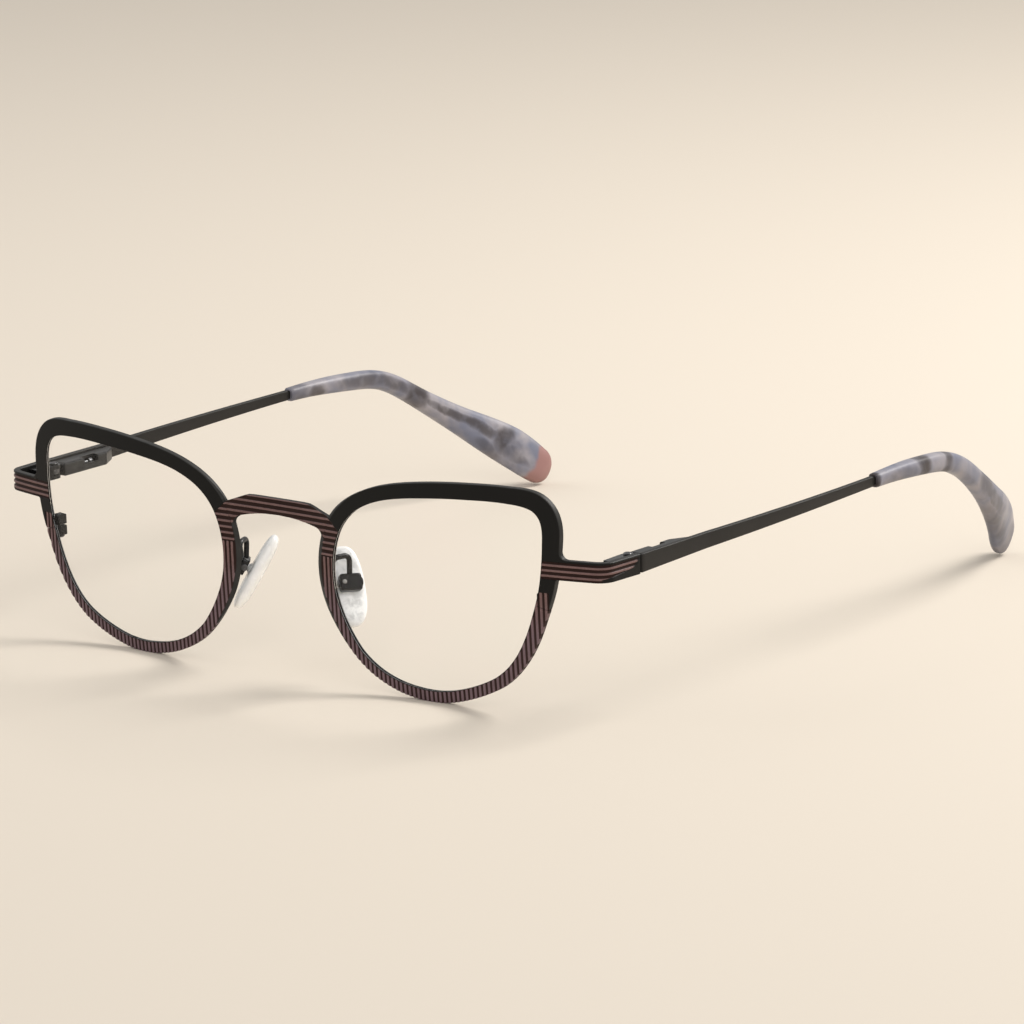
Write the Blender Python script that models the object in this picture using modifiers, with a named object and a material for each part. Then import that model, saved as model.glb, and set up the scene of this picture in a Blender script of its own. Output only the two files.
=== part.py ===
"""Cat eye spectacles with a milled metal front, spring hinges and acetate temple tips.

The wearer looks along -Y, and left is the wearer's left, which is +X. X = 0 is the plane
of symmetry. The rims and the ends of the temple tips stand on Z = 0. Pieces are modelled
for the left side, in a frame whose Y = 0 lies at the lenses, and copied to the right.
"""

import math

import bmesh
import bpy
import numpy as np
from mathutils import Matrix, Vector

MM = 0.001

# Lens openings and the front that carries them
LENS_WIDTH = 43.4 * MM
LENS_HEIGHT = 35.5 * MM
BRIDGE_GAP = 24.7 * MM
RIM_WIDTH = 2.1 * MM
BROW_WIDTH = 3.6 * MM
RIM_DEPTH = 1.1 * MM
EDGE_CHAMFER = 0.12 * MM
NASAL_CHAMFER_WIDTH = 1.0 * MM
NASAL_CHAMFER_DEPTH = 0.4 * MM
NASAL_UNDERCUT_SHARE = 0.4
REST_FLAT = 0.06 * MM
FRONT_TILT = math.radians(3.1)
FRONT_WRAP = math.radians(4.6)
RADIUS_ACROSS = 154 * MM
RADIUS_UP = 233 * MM
SETBACK = 0.1 * MM

# One row for each point of the opening's outline, from the temporal side over the brow:
# share of the width, share of the height, share of the brow's width, share of the chamfer
OUTLINE_SHARES = (
    (0.999, 0.818, 0.80, 0.0),
    (0.991, 0.922, 0.85, 0.0),
    (0.956, 0.974, 0.80, 0.0),
    (0.855, 0.999, 0.55, 0.0),
    (0.665, 0.999, 0.50, 0.0),
    (0.443, 0.979, 0.45, 0.0),
    (0.250, 0.938, 0.35, 0.0),
    (0.119, 0.863, 0.40, 0.1),
    (0.043, 0.759, 0.45, 0.6),
    (0.006, 0.621, 0.40, 1.0),
    (0.001, 0.503, 0.35, 1.0),
    (0.024, 0.365, 0.15, 0.8),
    (0.127, 0.149, -0.10, 0.0),
    (0.255, 0.044, -0.10, 0.0),
    (0.406, 0.000, 0.05, 0.0),
    (0.556, 0.006, 0.05, 0.0),
    (0.772, 0.107, 0.00, 0.0),
    (0.860, 0.211, 0.00, 0.0),
    (0.914, 0.329, 0.15, 0.0),
    (0.953, 0.459, 0.25, 0.0),
    (0.984, 0.606, 0.50, 0.0),
)
STEPS_PER_POINT = 4

# Lenses, each in a groove round its opening
LIP = 0.22 * MM
GROOVE_DEPTH = 0.55 * MM
GROOVE_FLOOR = 0.36 * MM
LENS_CLEARANCE = 0.1 * MM
LENS_THICKNESS = 0.8 * MM
LENS_BEVEL = 0.45 * MM
LENS_SHOULDER = 0.13 * MM
LENS_RING_SHARES = (0.35, 0.7)

# Bridge, heights above the centre of the lenses
BRIDGE_TOP = 12.7 * MM
BRIDGE_ARCH = 9.8 * MM
BRIDGE_DROP = 1.5 * MM
BRIDGE_STEP_SHARE = 0.62
BRIDGE_ROOT_SHARE = 0.33
BRIDGE_STEPS = 13

# End pieces, from the rim's temporal side round the corner to the hinge
END_HEIGHT = 3.6 * MM
END_RISE = 6.6 * MM
END_THICKNESS = 1.2 * MM
END_REACH = 66.9 * MM
END_BEND_RADIUS = 1.9 * MM
END_FLARE = 0.75 * MM
END_ROOT_SHARE = 0.55
END_SIDE_LENGTH = 9.926 * MM

# Spring hinges
HINGE_SEAM = 0.6 * MM
HINGE_HEIGHT = 2.5 * MM
HINGE_OFFSET = 2.85 * MM
KNUCKLE_RADIUS = 1.25 * MM
KNUCKLE_GAP = 0.1 * MM
MIDDLE_KNUCKLE = 0.9 * MM
PIN_RADIUS = 0.42 * MM
PIN_CLEARANCE = 0.09 * MM
PIN_HEAD_RADIUS = 0.85 * MM
PIN_HEAD_HEIGHT = 0.35 * MM
SCREW_SLOT = 0.25 * MM
SCREW_CROWN_SHARE = 0.8
SCREW_SIDE_SHARE = 0.6
SCREW_SLOT_SHARE = 0.55
KNUCKLE_STEPS = 9
HINGE_LEAF_LENGTH = 4.6 * MM
LEAF_HALF_WIDTH = 1.0 * MM
SOLDER = 0.1 * MM
STEM_RADIUS = 0.38 * MM
STEM_CLEARANCE = 0.135 * MM
STEM_LENGTH = 10.6 * MM
HOUSING_LENGTH = 16.0 * MM
HOUSING_TAPER = 4.0 * MM
HOUSING_START = 1.8 * MM
HOUSING_WALL = 0.5 * MM
HOUSING_FRONT_WALL = 1.2 * MM
HOUSING_BEVEL = 0.35 * MM
WINDOW_LENGTH = 4.0 * MM
WINDOW_DEPTH = 1.1 * MM
WINDOW_START = 5.5 * MM
SPRING_TURNS = 7
SPRING_STEPS = 10
SPRING_WIRE = 0.1 * MM
SPRING_RADIUS = 0.58 * MM
SPRING_TRAVEL = 0.8 * MM
NUT_RADIUS = 0.65 * MM
NUT_LENGTH = 0.8 * MM
PLUG_LENGTH = 1.4 * MM

# Temples and their tips
TEMPLE_THICKNESS = 1.0 * MM
TEMPLE_HEIGHT = 3.4 * MM
TEMPLE_END_HEIGHT = 1.9 * MM
TEMPLE_TAPER = 1.2
TEMPLE_LENGTH = 72.6 * MM
TEMPLE_STRAIGHT = 20.0 * MM
TEMPLE_FLARE = 0.25 * MM
TEMPLE_BOW = 0.5 * MM
TEMPLE_RISE = 1.1 * MM
TEMPLE_CORNER = 0.2 * MM
TEMPLE_STEPS = 8
CORE_CORNER = 0.15 * MM
CORE_HEIGHT = 1.4 * MM
CORE_THICKNESS = 0.8 * MM
CORE_SHARE = 0.78
CORE_CLEARANCE = 0.12 * MM
CORE_ROUNDNESS = 0.4
TIP_REACH = 66.0 * MM
TIP_DROP = 25.5 * MM
TIP_INWARD = 13.3 * MM
TIP_THICKNESS = 3.3 * MM
TIP_HEIGHT = 2.6 * MM
TIP_PADDLE = 8.2 * MM
TIP_ROUNDNESS = 0.75
TIP_SIDES = 14
MOUTH_SHARE = 0.75
END_RING_SHARE = 0.4
END_HEIGHT_SHARE = 0.6

# One row for each station of the tip, from its mouth to its end: share of the reach
# backward, share of the drop, share of the inward curve, share of the paddle's width
TIP_SHARES = (
    (0.000, 0.000, 0.000, 0.00),
    (0.094, -0.002, 0.019, 0.05),
    (0.185, 0.004, 0.045, 0.11),
    (0.276, 0.018, 0.071, 0.15),
    (0.352, 0.035, 0.090, 0.18),
    (0.412, 0.065, 0.109, 0.20),
    (0.473, 0.124, 0.128, 0.22),
    (0.526, 0.196, 0.158, 0.23),
    (0.586, 0.288, 0.211, 0.27),
    (0.659, 0.402, 0.301, 0.38),
    (0.738, 0.527, 0.429, 0.57),
    (0.820, 0.657, 0.586, 0.84),
    (0.900, 0.794, 0.771, 1.00),
    (0.964, 0.931, 0.932, 0.87),
    (1.000, 1.000, 1.000, 0.60),
)

# Rim locks, which close each rim on its lens behind the temporal side
LOCK_HEIGHT = 3.9 * MM
LOCK_WIDTH = 1.9 * MM
LOCK_DEPTH = 1.9 * MM
LOCK_INSET = 0.6 * MM
LOCK_SLIT = 0.2 * MM
LOCK_BEVEL = 0.2 * MM
LOCK_SCREW_RADIUS = 0.45 * MM
LOCK_HEAD_RADIUS = 0.75 * MM
LOCK_HEAD_HEIGHT = 0.35 * MM

# Nose pads, their boxes and arms
PAD_LENGTH = 15.0 * MM
PAD_WIDTH = 6.6 * MM
PAD_THICKNESS = 2.1 * MM
PAD_SPREAD = 12.0 * MM
PAD_BACK = 5.35 * MM
PAD_HEIGHT = 18.1 * MM
PAD_FRONTAL = math.radians(22.5)
PAD_LEAN = math.radians(20.0)
PAD_SPLAY = math.radians(36.0)
PAD_STANDOFF = 0.9 * MM
PAD_STATION_SHARES = (-0.97, -0.85, -0.6, -0.25, 0.1, 0.45, 0.75, 0.92, 0.985)
PAD_BLUNTNESS = 0.85
PAD_EGG_SHARE = 0.1
BOX_LENGTH = 3.1 * MM
BOX_WIDTH = 4.0 * MM
BOX_DEPTH = 1.6 * MM
BOX_SLOT_LENGTH = 2.3 * MM
BOX_SLOT_WIDTH = 2.0 * MM
BOX_FLOOR = 0.3 * MM
BOX_BEVEL = 0.25 * MM
BOSS_RADIUS = 0.8 * MM
BOSS_WIDTH = 1.6 * MM
BOSS_NECK = 0.9 * MM
PAD_SCREW_RADIUS = 0.35 * MM
PAD_SCREW_HEAD = 0.65 * MM
PAD_SCREW_HEAD_HEIGHT = 0.25 * MM
ARM_RADIUS = 0.5 * MM
ARM_FOOT_IN = 2.2 * MM
ARM_ROOT = 1.2 * MM
ARM_RISE = 3.0 * MM
ARM_LEAN_SHARE = 0.3
ARM_FALL = 3.5 * MM
ARM_BEND_RADIUS = 1.1 * MM
ARM_GAP = 0.1 * MM

OVERRUN = 1.0 * MM
WELD = 0.000001
ROUND = 16
SHARP_ANGLE = math.radians(35)
STRAIGHT_ANGLE = math.radians(160)
CORNER_STEPS = 5


def remove_everything():
    """Start from an empty scene."""
    for thing in list(bpy.data.objects):
        bpy.data.objects.remove(thing, do_unlink=True)


def make_material(name, colour, roughness, metallic, alpha=1.0):
    """A plain finish for one kind of piece."""
    material = bpy.data.materials.new(name)
    material.use_nodes = True
    shader = material.node_tree.nodes["Principled BSDF"]
    shader.inputs["Base Color"].default_value = (*colour, 1.0)
    shader.inputs["Roughness"].default_value = roughness
    shader.inputs["Metallic"].default_value = metallic
    shader.inputs["Alpha"].default_value = alpha
    return material


def add_object(name, mesh, material=None):
    """Put a mesh in the scene, in the collection for parts or, without material, for cutters."""
    thing = bpy.data.objects.new(name, mesh)
    if material is None:
        CUTTERS.objects.link(thing)
        thing.hide_render = True
        thing.display_type = "WIRE"
    else:
        PARTS.objects.link(thing)
        mesh.materials.clear()
        mesh.materials.append(material)
    return thing


def skin(name, rings, material=None, closed=False, first=None, last=None):
    """Loft unlike sections: rings of equally many points, closed on each other or capped.

    A cap is a fan to the point first or last, or one flat face where none is given.
    """
    bm = bmesh.new()
    rows = [[bm.verts.new(tuple(p)) for p in ring] for ring in rings]
    count = len(rows[0])
    pairs = list(zip(rows[:-1], rows[1:]))
    if closed:
        pairs.append((rows[-1], rows[0]))
    for low, high in pairs:
        for i in range(count):
            j = (i + 1) % count
            bm.faces.new((low[i], low[j], high[j], high[i]))
    if not closed:
        for row, tip in ((rows[0], first), (rows[-1], last)):
            if tip is None:
                bm.faces.new(row)
                continue
            centre = bm.verts.new(tuple(tip))
            for i in range(count):
                bm.faces.new((row[i], row[(i + 1) % count], centre))
    mesh = bpy.data.meshes.new(name)
    return add_object(name, finish_mesh(bm, mesh), material)


def finish_mesh(bm, mesh):
    """Write a bmesh to a mesh, facing outward and smooth shaded between sharp edges."""
    bmesh.ops.recalc_face_normals(bm, faces=bm.faces)
    if bm.calc_volume(signed=True) < 0:
        bmesh.ops.reverse_faces(bm, faces=bm.faces)
    bm.to_mesh(mesh)
    bm.free()
    mesh.shade_smooth()
    mesh.set_sharp_from_angle(angle=SHARP_ANGLE)
    return mesh


def block(name, low, high, material=None, bevel=0.0):
    """A box between two corners, with rounded edges where bevel is given."""
    low, high = Vector(low), Vector(high)
    bm = bmesh.new()
    bmesh.ops.create_cube(bm, size=1.0)
    size = high - low
    bmesh.ops.scale(bm, vec=size, verts=bm.verts)
    bmesh.ops.translate(bm, vec=(low + high) / 2, verts=bm.verts)
    mesh = bpy.data.meshes.new(name)
    bm.to_mesh(mesh)
    bm.free()
    thing = add_object(name, mesh, material)
    if bevel:
        rounding = thing.modifiers.new("edges", "BEVEL")
        rounding.width = bevel
        rounding.segments = 2
    return thing


def rod(name, start, end, radius, material=None, segments=ROUND):
    """A round bar between two points."""
    start, end = Vector(start), Vector(end)
    bm = bmesh.new()
    bmesh.ops.create_cone(bm, cap_ends=True, segments=segments, radius1=radius,
                          radius2=radius, depth=(end - start).length)
    turn = (end - start).to_track_quat("Z", "Y").to_matrix().to_4x4()
    bm.transform(Matrix.Translation((start + end) / 2) @ turn)
    return add_object(name, finish_mesh(bm, bpy.data.meshes.new(name)), material)


def plate(name, outline, thickness, material=None):
    """A flat outline in X and Y, filled and given a thickness centred on Z = 0."""
    curve = bpy.data.curves.new(name, "CURVE")
    curve.dimensions = "2D"
    curve.fill_mode = "BOTH"
    curve.extrude = thickness / 2
    spline = curve.splines.new("POLY")
    spline.points.add(len(outline) - 1)
    for point, (x, y) in zip(spline.points, outline):
        point.co = (x, y, 0.0, 1.0)
    spline.use_cyclic_u = True
    return curve_to_mesh(name, curve, material)


def wire(name, points, radius, material=None, resolution=2):
    """A round wire through the points, with closed ends."""
    curve = bpy.data.curves.new(name, "CURVE")
    curve.dimensions = "3D"
    curve.bevel_depth = radius
    curve.bevel_resolution = resolution
    curve.use_fill_caps = True
    spline = curve.splines.new("POLY")
    spline.points.add(len(points) - 1)
    for point, spot in zip(spline.points, points):
        point.co = (*spot, 1.0)
    return curve_to_mesh(name, curve, material)


def curve_to_mesh(name, curve, material):
    """Turn a curve into a welded mesh object of the same name."""
    guide = bpy.data.objects.new(name + "_curve", curve)
    CUTTERS.objects.link(guide)
    graph = bpy.context.evaluated_depsgraph_get()
    mesh = bpy.data.meshes.new_from_object(guide.evaluated_get(graph))
    bpy.data.objects.remove(guide, do_unlink=True)
    mesh.name = name
    bm = bmesh.new()
    bm.from_mesh(mesh)
    bmesh.ops.remove_doubles(bm, verts=bm.verts, dist=WELD)
    return add_object(name, finish_mesh(bm, mesh), material)


def combine(target, operation, *tools):
    """Join tools to the target, or cut the target with them, by live Boolean modifiers."""
    bpy.context.view_layer.update()
    for tool in tools:
        change = target.modifiers.new(operation.lower(), "BOOLEAN")
        change.operation = operation
        change.object = tool
        if tool.parent is None:
            tool.parent = target
            tool.matrix_parent_inverse = target.matrix_world.inverted()
    return target


def place(thing, matrix):
    """Put an object where the matrix says."""
    thing.matrix_world = matrix
    return thing


def mirror_form(thing):
    """Turn a form into its own mirror image across X = 0."""
    thing.data.transform(Matrix.Scale(-1, 4, (1, 0, 0)) @ thing.matrix_basis)
    thing.data.flip_normals()
    thing.matrix_basis = Matrix.Identity(4)
    return thing


def mirrored(thing, name, material):
    """The right-hand copy of a left-hand piece, as it stands after its modifiers."""
    graph = bpy.context.evaluated_depsgraph_get()
    mesh = bpy.data.meshes.new_from_object(thing.evaluated_get(graph))
    mesh.transform(Matrix.Scale(-1, 4, (1, 0, 0)) @ thing.matrix_world)
    mesh.flip_normals()
    mesh.name = name
    return add_object(name, mesh, material)


def spline_points(points, steps, closed=True):
    """Points along a smooth curve through the given ones, a centripetal Catmull-Rom spline."""
    points = np.asarray(points, dtype=float)
    count = len(points)
    if not closed:
        points = np.vstack([2 * points[0] - points[1], points, 2 * points[-1] - points[-2]])
    out = []
    spans = count if closed else count - 1
    for i in range(spans):
        if closed:
            a, b, c, d = (points[(i + k - 1) % count] for k in range(4))
        else:
            a, b, c, d = points[i:i + 4]
        knots = np.cumsum([0.0] + [np.linalg.norm(q[:2] - p[:2]) ** 0.5
                                   for p, q in ((a, b), (b, c), (c, d))])
        for t in np.linspace(knots[1], knots[2], steps, endpoint=False):
            rows = [a, b, c, d]
            for level in (1, 2, 3):
                rows = [((knots[k + level] - t) * rows[k] + (t - knots[k]) * rows[k + 1])
                        / (knots[k + level] - knots[k]) for k in range(4 - level)]
            out.append(rows[0])
    if not closed:
        out.append(points[-2])
    return np.array(out)


def sag(across, up):
    """How far the front's face lies behind its own plane, from wrap and lens curvature."""
    joint = BRIDGE_GAP / 2
    off = np.maximum(np.abs(across), joint) - LENS_ACROSS
    depth = np.tan(FRONT_WRAP) * off + off ** 2 / (2 * RADIUS_ACROSS) + up ** 2 / (2 * RADIUS_UP)
    edge = joint - LENS_ACROSS
    slope = np.tan(FRONT_WRAP) + edge / RADIUS_ACROSS
    inside = np.minimum(np.abs(across), joint)
    return depth - slope * (joint ** 2 - inside ** 2) / (2 * joint)


def front_point(across, up, depth=0.0):
    """A place on the front, from the distance across, up from the lens centre, and behind."""
    across, up = np.asarray(across, dtype=float), np.asarray(up, dtype=float)
    back = sag(across, up) + depth
    y = -up * math.sin(FRONT_TILT) + back * math.cos(FRONT_TILT)
    z = LENS_CENTRE_HEIGHT + up * math.cos(FRONT_TILT) + back * math.sin(FRONT_TILT)
    return np.stack([across, y, z], axis=-1)


def opening_outline():
    """The lens opening's outline, its outward normals, and the rim's width and chamfer there."""
    shares = np.array(OUTLINE_SHARES)
    across = BRIDGE_GAP / 2 + shares[:, 0] * LENS_WIDTH
    up = (shares[:, 1] - 0.5) * LENS_HEIGHT
    rows = spline_points(np.column_stack([across, up, shares[:, 2], shares[:, 3]]), STEPS_PER_POINT)
    along = np.roll(rows[:, :2], -1, axis=0) - np.roll(rows[:, :2], 1, axis=0)
    along /= np.linalg.norm(along, axis=1)[:, None]
    normals = np.column_stack([along[:, 1], -along[:, 0]])
    inward = (rows[:, :2] - rows[:, :2].mean(axis=0)) * normals
    if inward.sum() < 0:
        normals = -normals
    widths = RIM_WIDTH + (BROW_WIDTH - RIM_WIDTH) * rows[:, 2]
    return rows[:, :2], normals, widths, np.clip(rows[:, 3], 0, 1)


def opening_edge(up, side):
    """How far across the opening's edge lies at a height, on the temporal (1) or nasal (-1) side."""
    rows = OUTLINE[(OUTLINE[:, 0] - LENS_ACROSS) * side > LENS_WIDTH / 4]
    rows = rows[np.argsort(rows[:, 1])]
    return float(np.interp(up, rows[:, 1], rows[:, 0]))


def ring_on_front(offset, depth):
    """The opening's outline moved outward by offset and placed at a depth on the front."""
    spots = OUTLINE + NORMALS * np.reshape(offset, (-1, 1))
    return front_point(spots[:, 0], spots[:, 1], depth)


def rim_rings():
    """The rim's section, carried round the opening: lips, lens groove, back and chamfer."""
    chamfer_in = EDGE_CHAMFER + NASAL_CHAMFER_WIDTH * CHAMFERS
    chamfer_back = EDGE_CHAMFER + NASAL_CHAMFER_DEPTH * CHAMFERS
    outer = WIDTHS + NASAL_CHAMFER_WIDTH * CHAMFERS
    middle = RIM_DEPTH / 2
    none = np.zeros(len(OUTLINE))
    section = (
        (none, 0.0),
        (none, LIP),
        (none + GROOVE_DEPTH, middle - GROOVE_FLOOR / 2),
        (none + GROOVE_DEPTH, middle + GROOVE_FLOOR / 2),
        (none, RIM_DEPTH - LIP),
        (none, RIM_DEPTH),
        (outer - NASAL_CHAMFER_WIDTH * NASAL_UNDERCUT_SHARE * CHAMFERS, RIM_DEPTH),
        (outer, chamfer_back),
        (outer - chamfer_in, 0.0),
    )
    corners = np.stack([ring_on_front(offset, depth) for offset, depth in section], axis=1)
    return list(corners)


def lens_rings():
    """The lens as rings from its front pole over the bevelled edge to its back pole."""
    middle = RIM_DEPTH / 2
    face = middle - LENS_THICKNESS / 2
    back = middle + LENS_THICKNESS / 2
    inside = -LENS_CLEARANCE
    centre = np.array([LENS_ACROSS, 0.0])
    edge = OUTLINE + NORMALS * inside

    def inner(share, depth):
        spots = centre + (edge - centre) * share
        return front_point(spots[:, 0], spots[:, 1], depth)

    rings = [
        *(inner(share, face) for share in LENS_RING_SHARES),
        ring_on_front(inside, face),
        ring_on_front(inside, face + LENS_SHOULDER),
        ring_on_front(inside + LENS_BEVEL, middle),
        ring_on_front(inside, back - LENS_SHOULDER),
        ring_on_front(inside, back),
        *(inner(share, back) for share in LENS_RING_SHARES[::-1]),
    ]
    return rings, front_point(*centre, face), front_point(*centre, back)


def rounded_path(points, radius):
    """A path whose inner corners are arcs of one radius, unless they are nearly straight."""
    points = [np.array(p, dtype=float) for p in points]
    path = [points[0]]
    for before, corner, after in zip(points[:-2], points[1:-1], points[2:]):
        back = (before - corner) / np.linalg.norm(before - corner)
        ahead = (after - corner) / np.linalg.norm(after - corner)
        half = math.acos(float(np.clip(back @ ahead, -1, 1))) / 2
        if 2 * half > STRAIGHT_ANGLE:
            path.append(corner)
            continue
        bisector = (back + ahead) / np.linalg.norm(back + ahead)
        centre = corner + bisector * radius / math.sin(half)
        start = corner + back * radius / math.tan(half) - centre
        end = corner + ahead * radius / math.tan(half) - centre
        turn = math.pi - 2 * half
        for share in np.linspace(0, 1, CORNER_STEPS):
            path.append(centre + (start * math.sin(turn * (1 - share)) + end * math.sin(turn * share))
                        / math.sin(turn))
    path.append(points[-1])
    return np.array(path)


def end_piece_path():
    """The end piece's outer face in plan, from on the rim round the corner to the seam."""
    rim = OUTLINE[:, 0].max() + BROW_WIDTH * END_ROOT_SHARE
    halfway = (rim + END_REACH) / 2
    on_front = [front_point(a, END_RISE, SETBACK)[:2] for a in (rim, halfway, END_REACH)]
    end = (END_REACH + END_FLARE, HINGE_BACK - HINGE_SEAM / 2)
    return rounded_path([*on_front, end], END_BEND_RADIUS)


def offset_path(path, distance):
    """The path moved sideways, towards the wearer."""
    along = np.gradient(path, axis=0)
    along /= np.linalg.norm(along, axis=1)[:, None]
    return path + np.column_stack([-along[:, 1], along[:, 0]]) * distance


def end_piece(name):
    """A flat strip on edge that leaves the rim and bends back to the hinge."""
    outer = end_piece_path()
    inner = offset_path(outer, END_THICKNESS)
    strip = plate(name, [tuple(p) for p in np.vstack([outer, inner[::-1]])], END_HEIGHT)
    return place(strip, Matrix.Translation((0, 0, END_CENTRE_HEIGHT)))


def bridge(name):
    """The bridge between the rims, a plate arched below and bent with the front's face."""
    reach = BRIDGE_GAP / 2 - RIM_WIDTH * BRIDGE_ROOT_SHARE
    shares = np.linspace(-1, 1, BRIDGE_STEPS)
    across = shares * reach
    rise = np.clip((np.abs(shares) - BRIDGE_STEP_SHARE) / (1 - BRIDGE_STEP_SHARE), 0, 1)
    top = BRIDGE_TOP - BRIDGE_DROP * rise
    low = BRIDGE_ARCH - BRIDGE_DROP * shares ** 2
    outline = [*zip(across, top), *zip(across[::-1], low[::-1])]
    thing = plate(name, outline, RIM_DEPTH - 2 * SETBACK)
    flat = np.array([v.co for v in thing.data.vertices])
    bent = front_point(flat[:, 0], flat[:, 1], flat[:, 2] + RIM_DEPTH / 2)
    for vertex, spot in zip(thing.data.vertices, bent):
        vertex.co = spot
    thing.data.flip_normals()
    return thing


def front():
    """Rims, bridge and end pieces, milled from one sheet, with a slit at each rim lock."""
    body = skin("front", rim_rings(), FINISH["front"], closed=True)
    right = mirror_form(skin("right_rim_form", rim_rings(), closed=True))
    left_end = end_piece("left_end_form")
    right_end = mirror_form(end_piece("right_end_form"))
    combine(body, "UNION", right, bridge("bridge_form"), left_end, right_end)
    wide = END_REACH + END_FLARE + OVERRUN
    floor = block("floor_cut", (-wide, -BRIDGE_GAP, -BROW_WIDTH), (wide, BRIDGE_GAP, 0))
    reach = BROW_WIDTH
    slits = [place(block(side + "_slit_cut", (-reach, -reach, -LOCK_SLIT / 2), (reach, reach, LOCK_SLIT / 2)),
                   lock_frame(sign)) for side, sign in (("left", 1), ("right", -1))]
    combine(body, "DIFFERENCE", floor, *slits)
    return body


def lock_frame(sign=1):
    """Where a rim lock sits: X across the rim, Y straight back from its back face, Z up along it."""
    step = RIM_WIDTH
    here = Vector(front_point(TEMPORAL_EDGE + LOCK_INSET, 0.0, RIM_DEPTH))
    across = Vector(front_point(TEMPORAL_EDGE + LOCK_INSET + step, 0.0, RIM_DEPTH)) - here
    up = Vector(front_point(TEMPORAL_EDGE + LOCK_INSET, step, RIM_DEPTH)) - here
    back = up.cross(across).normalized()
    across.normalize()
    up = across.cross(back)
    if sign < 0:
        here.x, back.x, up.x = -here.x, -back.x, -up.x
        across.y, across.z = -across.y, -across.z
    matrix = Matrix((across, back, up)).transposed().to_4x4()
    matrix.translation = here
    return matrix


def lens(name):
    """A lens with a bevelled edge that sits in the rim's groove."""
    rings, pole, back_pole = lens_rings()
    return skin(name, rings, FINISH["lens"], first=pole, last=back_pole)


def rim_locks(side):
    """Two blocks behind the rim, one each side of its slit, and the screw that draws them up."""
    frame = lock_frame()
    middle = SOLDER + LOCK_DEPTH / 2
    half = LOCK_HEIGHT / 2
    bore = rod(side + "_lock_bore", (0, middle, -LOCK_HEIGHT), (0, middle, LOCK_HEIGHT),
               LOCK_SCREW_RADIUS + PIN_CLEARANCE)
    place(bore, frame)
    pieces = []
    for part, low, high in (("upper", LOCK_SLIT / 2, half), ("lower", -half, -LOCK_SLIT / 2)):
        piece = block(side + "_lock_" + part, (-LOCK_WIDTH / 2, SOLDER, low),
                      (LOCK_WIDTH / 2, SOLDER + LOCK_DEPTH, high), FINISH["black"], LOCK_BEVEL)
        place(piece, frame)
        pieces.append(combine(piece, "DIFFERENCE", bore))
    down = -(frame.to_3x3() @ Vector((0, 0, 1)))
    seat = frame @ Vector((0, middle, -half))
    pieces.append(slotted_screw(side + "_lock_screw", seat, down, LOCK_SCREW_RADIUS, LOCK_HEIGHT,
                                LOCK_HEAD_RADIUS, LOCK_HEAD_HEIGHT))
    return pieces


def slotted_screw(name, seat, outward, radius, length, head_radius, head_height):
    """A screw whose head sits on seat and points outward: a turned profile with a slot."""
    gap = SOLDER / 2
    profile = ((0.0, head_height + gap), (head_radius * SCREW_CROWN_SHARE, head_height + gap),
               (head_radius, head_height * SCREW_SIDE_SHARE + gap), (head_radius, gap),
               (radius, gap), (radius, -length), (0.0, -length))
    mesh = bpy.data.meshes.new(name)
    mesh.from_pydata([(r, 0, z) for r, z in profile], [(i, i + 1) for i in range(len(profile) - 1)], [])
    thing = add_object(name, mesh, FINISH["steel"])
    turned = thing.modifiers.new("turned", "SCREW")
    turned.axis = "Z"
    turned.steps = turned.render_steps = ROUND
    turned.use_merge_vertices = True
    turned.merge_threshold = WELD
    floor = head_height * SCREW_SLOT_SHARE + gap
    slot = block(name + "_slot_cut", (-head_radius * 2, -SCREW_SLOT / 2, floor),
                 (head_radius * 2, SCREW_SLOT / 2, floor + head_height * 2))
    turn = Vector(outward).to_track_quat("Z", "Y").to_matrix().to_4x4()
    combine(thing, "DIFFERENCE", slot)
    return place(thing, Matrix.Translation(Vector(seat)) @ turn)


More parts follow.
